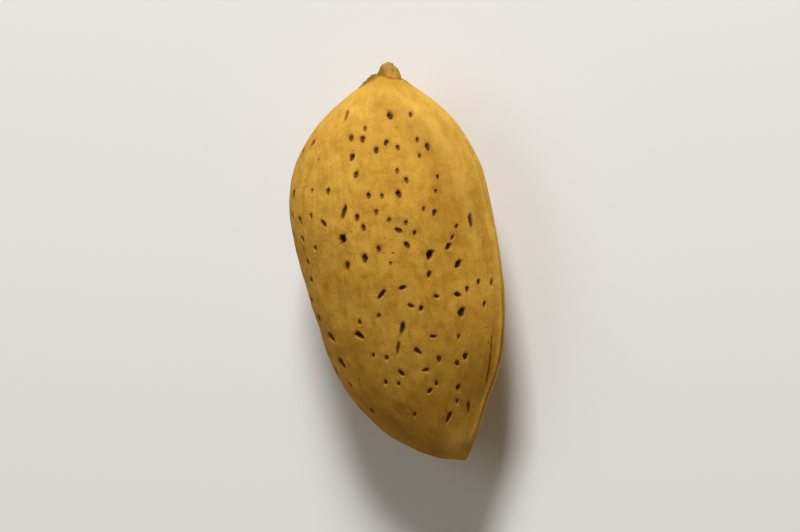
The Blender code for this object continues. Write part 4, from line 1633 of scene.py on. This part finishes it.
@dataclass
class Studio:
    """The pale floor, the soft lights and the camera that looks down on the broad face."""

    middle: Vector
    view_turn: float = math.radians(18.0)
    roll: float = math.radians(10.95)
    distance: float = 0.40
    nut_length: float = 36.0 * MM
    frame_share: float = 0.76
    floor_size: float = 1.6
    floor_colour: tuple = (0.85, 0.85, 0.84, 1.0)

    def build(self) -> None:
        """Makes the floor, the lights, the world and the camera."""
        self.floor()
        self.lights()
        self.camera()
        bpy.context.scene.view_settings.view_transform = "Standard"

    def floor(self) -> None:
        """Makes the plain pale floor."""
        shape = bmesh.new()
        bmesh.ops.create_grid(shape, x_segments=1, y_segments=1, size=self.floor_size / 2.0)
        mesh = bpy.data.meshes.new("floor")
        shape.to_mesh(mesh)
        shape.free()
        paint = bpy.data.materials.new("pale floor")
        paint.use_nodes = True
        shader = paint.node_tree.nodes["Principled BSDF"]
        shader.inputs["Base Color"].default_value = self.floor_colour
        shader.inputs["Roughness"].default_value = 0.9
        shader.inputs["Specular IOR Level"].default_value = 0.1
        mesh.materials.append(paint)
        floor = bpy.data.objects.new("floor", mesh)
        bpy.context.scene.collection.objects.link(floor)
        floor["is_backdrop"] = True

    def lamp(self, name: str, place: tuple, size: float, power: float) -> None:
        """Adds one soft square light that faces the nut.

        Args:
            name: the light's name.
            place: where it is, from the nut's middle.
            size: its side.
            power: its power in watts.
        """
        light = bpy.data.lights.new(name, "AREA")
        light.shape = "SQUARE"
        light.size = size
        light.energy = power
        lamp = bpy.data.objects.new(name, light)
        lamp.location = self.middle + Vector(place)
        lamp.rotation_euler = (-Vector(place)).to_track_quat("-Z", "Y").to_euler()
        bpy.context.scene.collection.objects.link(lamp)

    def lights(self) -> None:
        """Adds the key light from the stem side, a weaker one from the keel side and the sky."""
        self.lamp("key light", (-0.47, 0.12, 0.33), 0.16, 3.9)
        self.lamp("side light", (-0.20, -0.30, 0.50), 0.40, 0.5)
        world = bpy.data.worlds.new("studio")
        world.use_nodes = True
        sky = world.node_tree.nodes["Background"]
        sky.inputs["Color"].default_value = (1.0, 0.86, 0.66, 1.0)
        sky.inputs["Strength"].default_value = 0.15
        bpy.context.scene.world = world

    def camera(self) -> None:
        """Puts the camera over the broad face, turned to the keel side, with the stem up."""
        away = Vector((0.0, math.sin(self.view_turn), math.cos(self.view_turn)))
        right = Vector((0.0, math.cos(self.view_turn), -math.sin(self.view_turn)))
        up = Vector((-1.0, 0.0, 0.0))
        rolled_right = right * math.cos(self.roll) - up * math.sin(self.roll)
        rolled_up = right * math.sin(self.roll) + up * math.cos(self.roll)
        lens = bpy.data.cameras.new("camera")
        lens.sensor_fit = "VERTICAL"
        lens.angle = 2.0 * math.atan(self.nut_length / self.frame_share / 2.0 / self.distance)
        lens.clip_start = 0.01
        camera = bpy.data.objects.new("camera", lens)
        facing = Matrix((rolled_right, rolled_up, away)).transposed().to_4x4()
        camera.matrix_world = Matrix.Translation(self.middle + away * self.distance) @ facing
        bpy.context.scene.collection.objects.link(camera)
        bpy.context.scene.camera = camera


def main() -> None:
    """Builds the nut and the studio."""
    logging.basicConfig(level=logging.INFO, format="%(name)s: %(message)s")
    almond = Almond(NutForm(), ShellFinish())
    shell = almond.build()
    almond.dress(shell)
    triangles = sum(len(face.vertices) - 2 for face in shell.data.polygons)
    LOG.info("shell: %d triangles", triangles)
    low, high = (Vector(corner) for corner in CAD_BOUNDS)
    Studio((low + high) / 2.0).build()
    LOG.info("studio: floor, lights and camera")
    sizes = {"cad": CAD_BOUNDS, "visual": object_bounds()}
    lists = {name: [list(map(float, corner)) for corner in box] for name, box in sizes.items()}


if __name__ == "__main__":
    main()
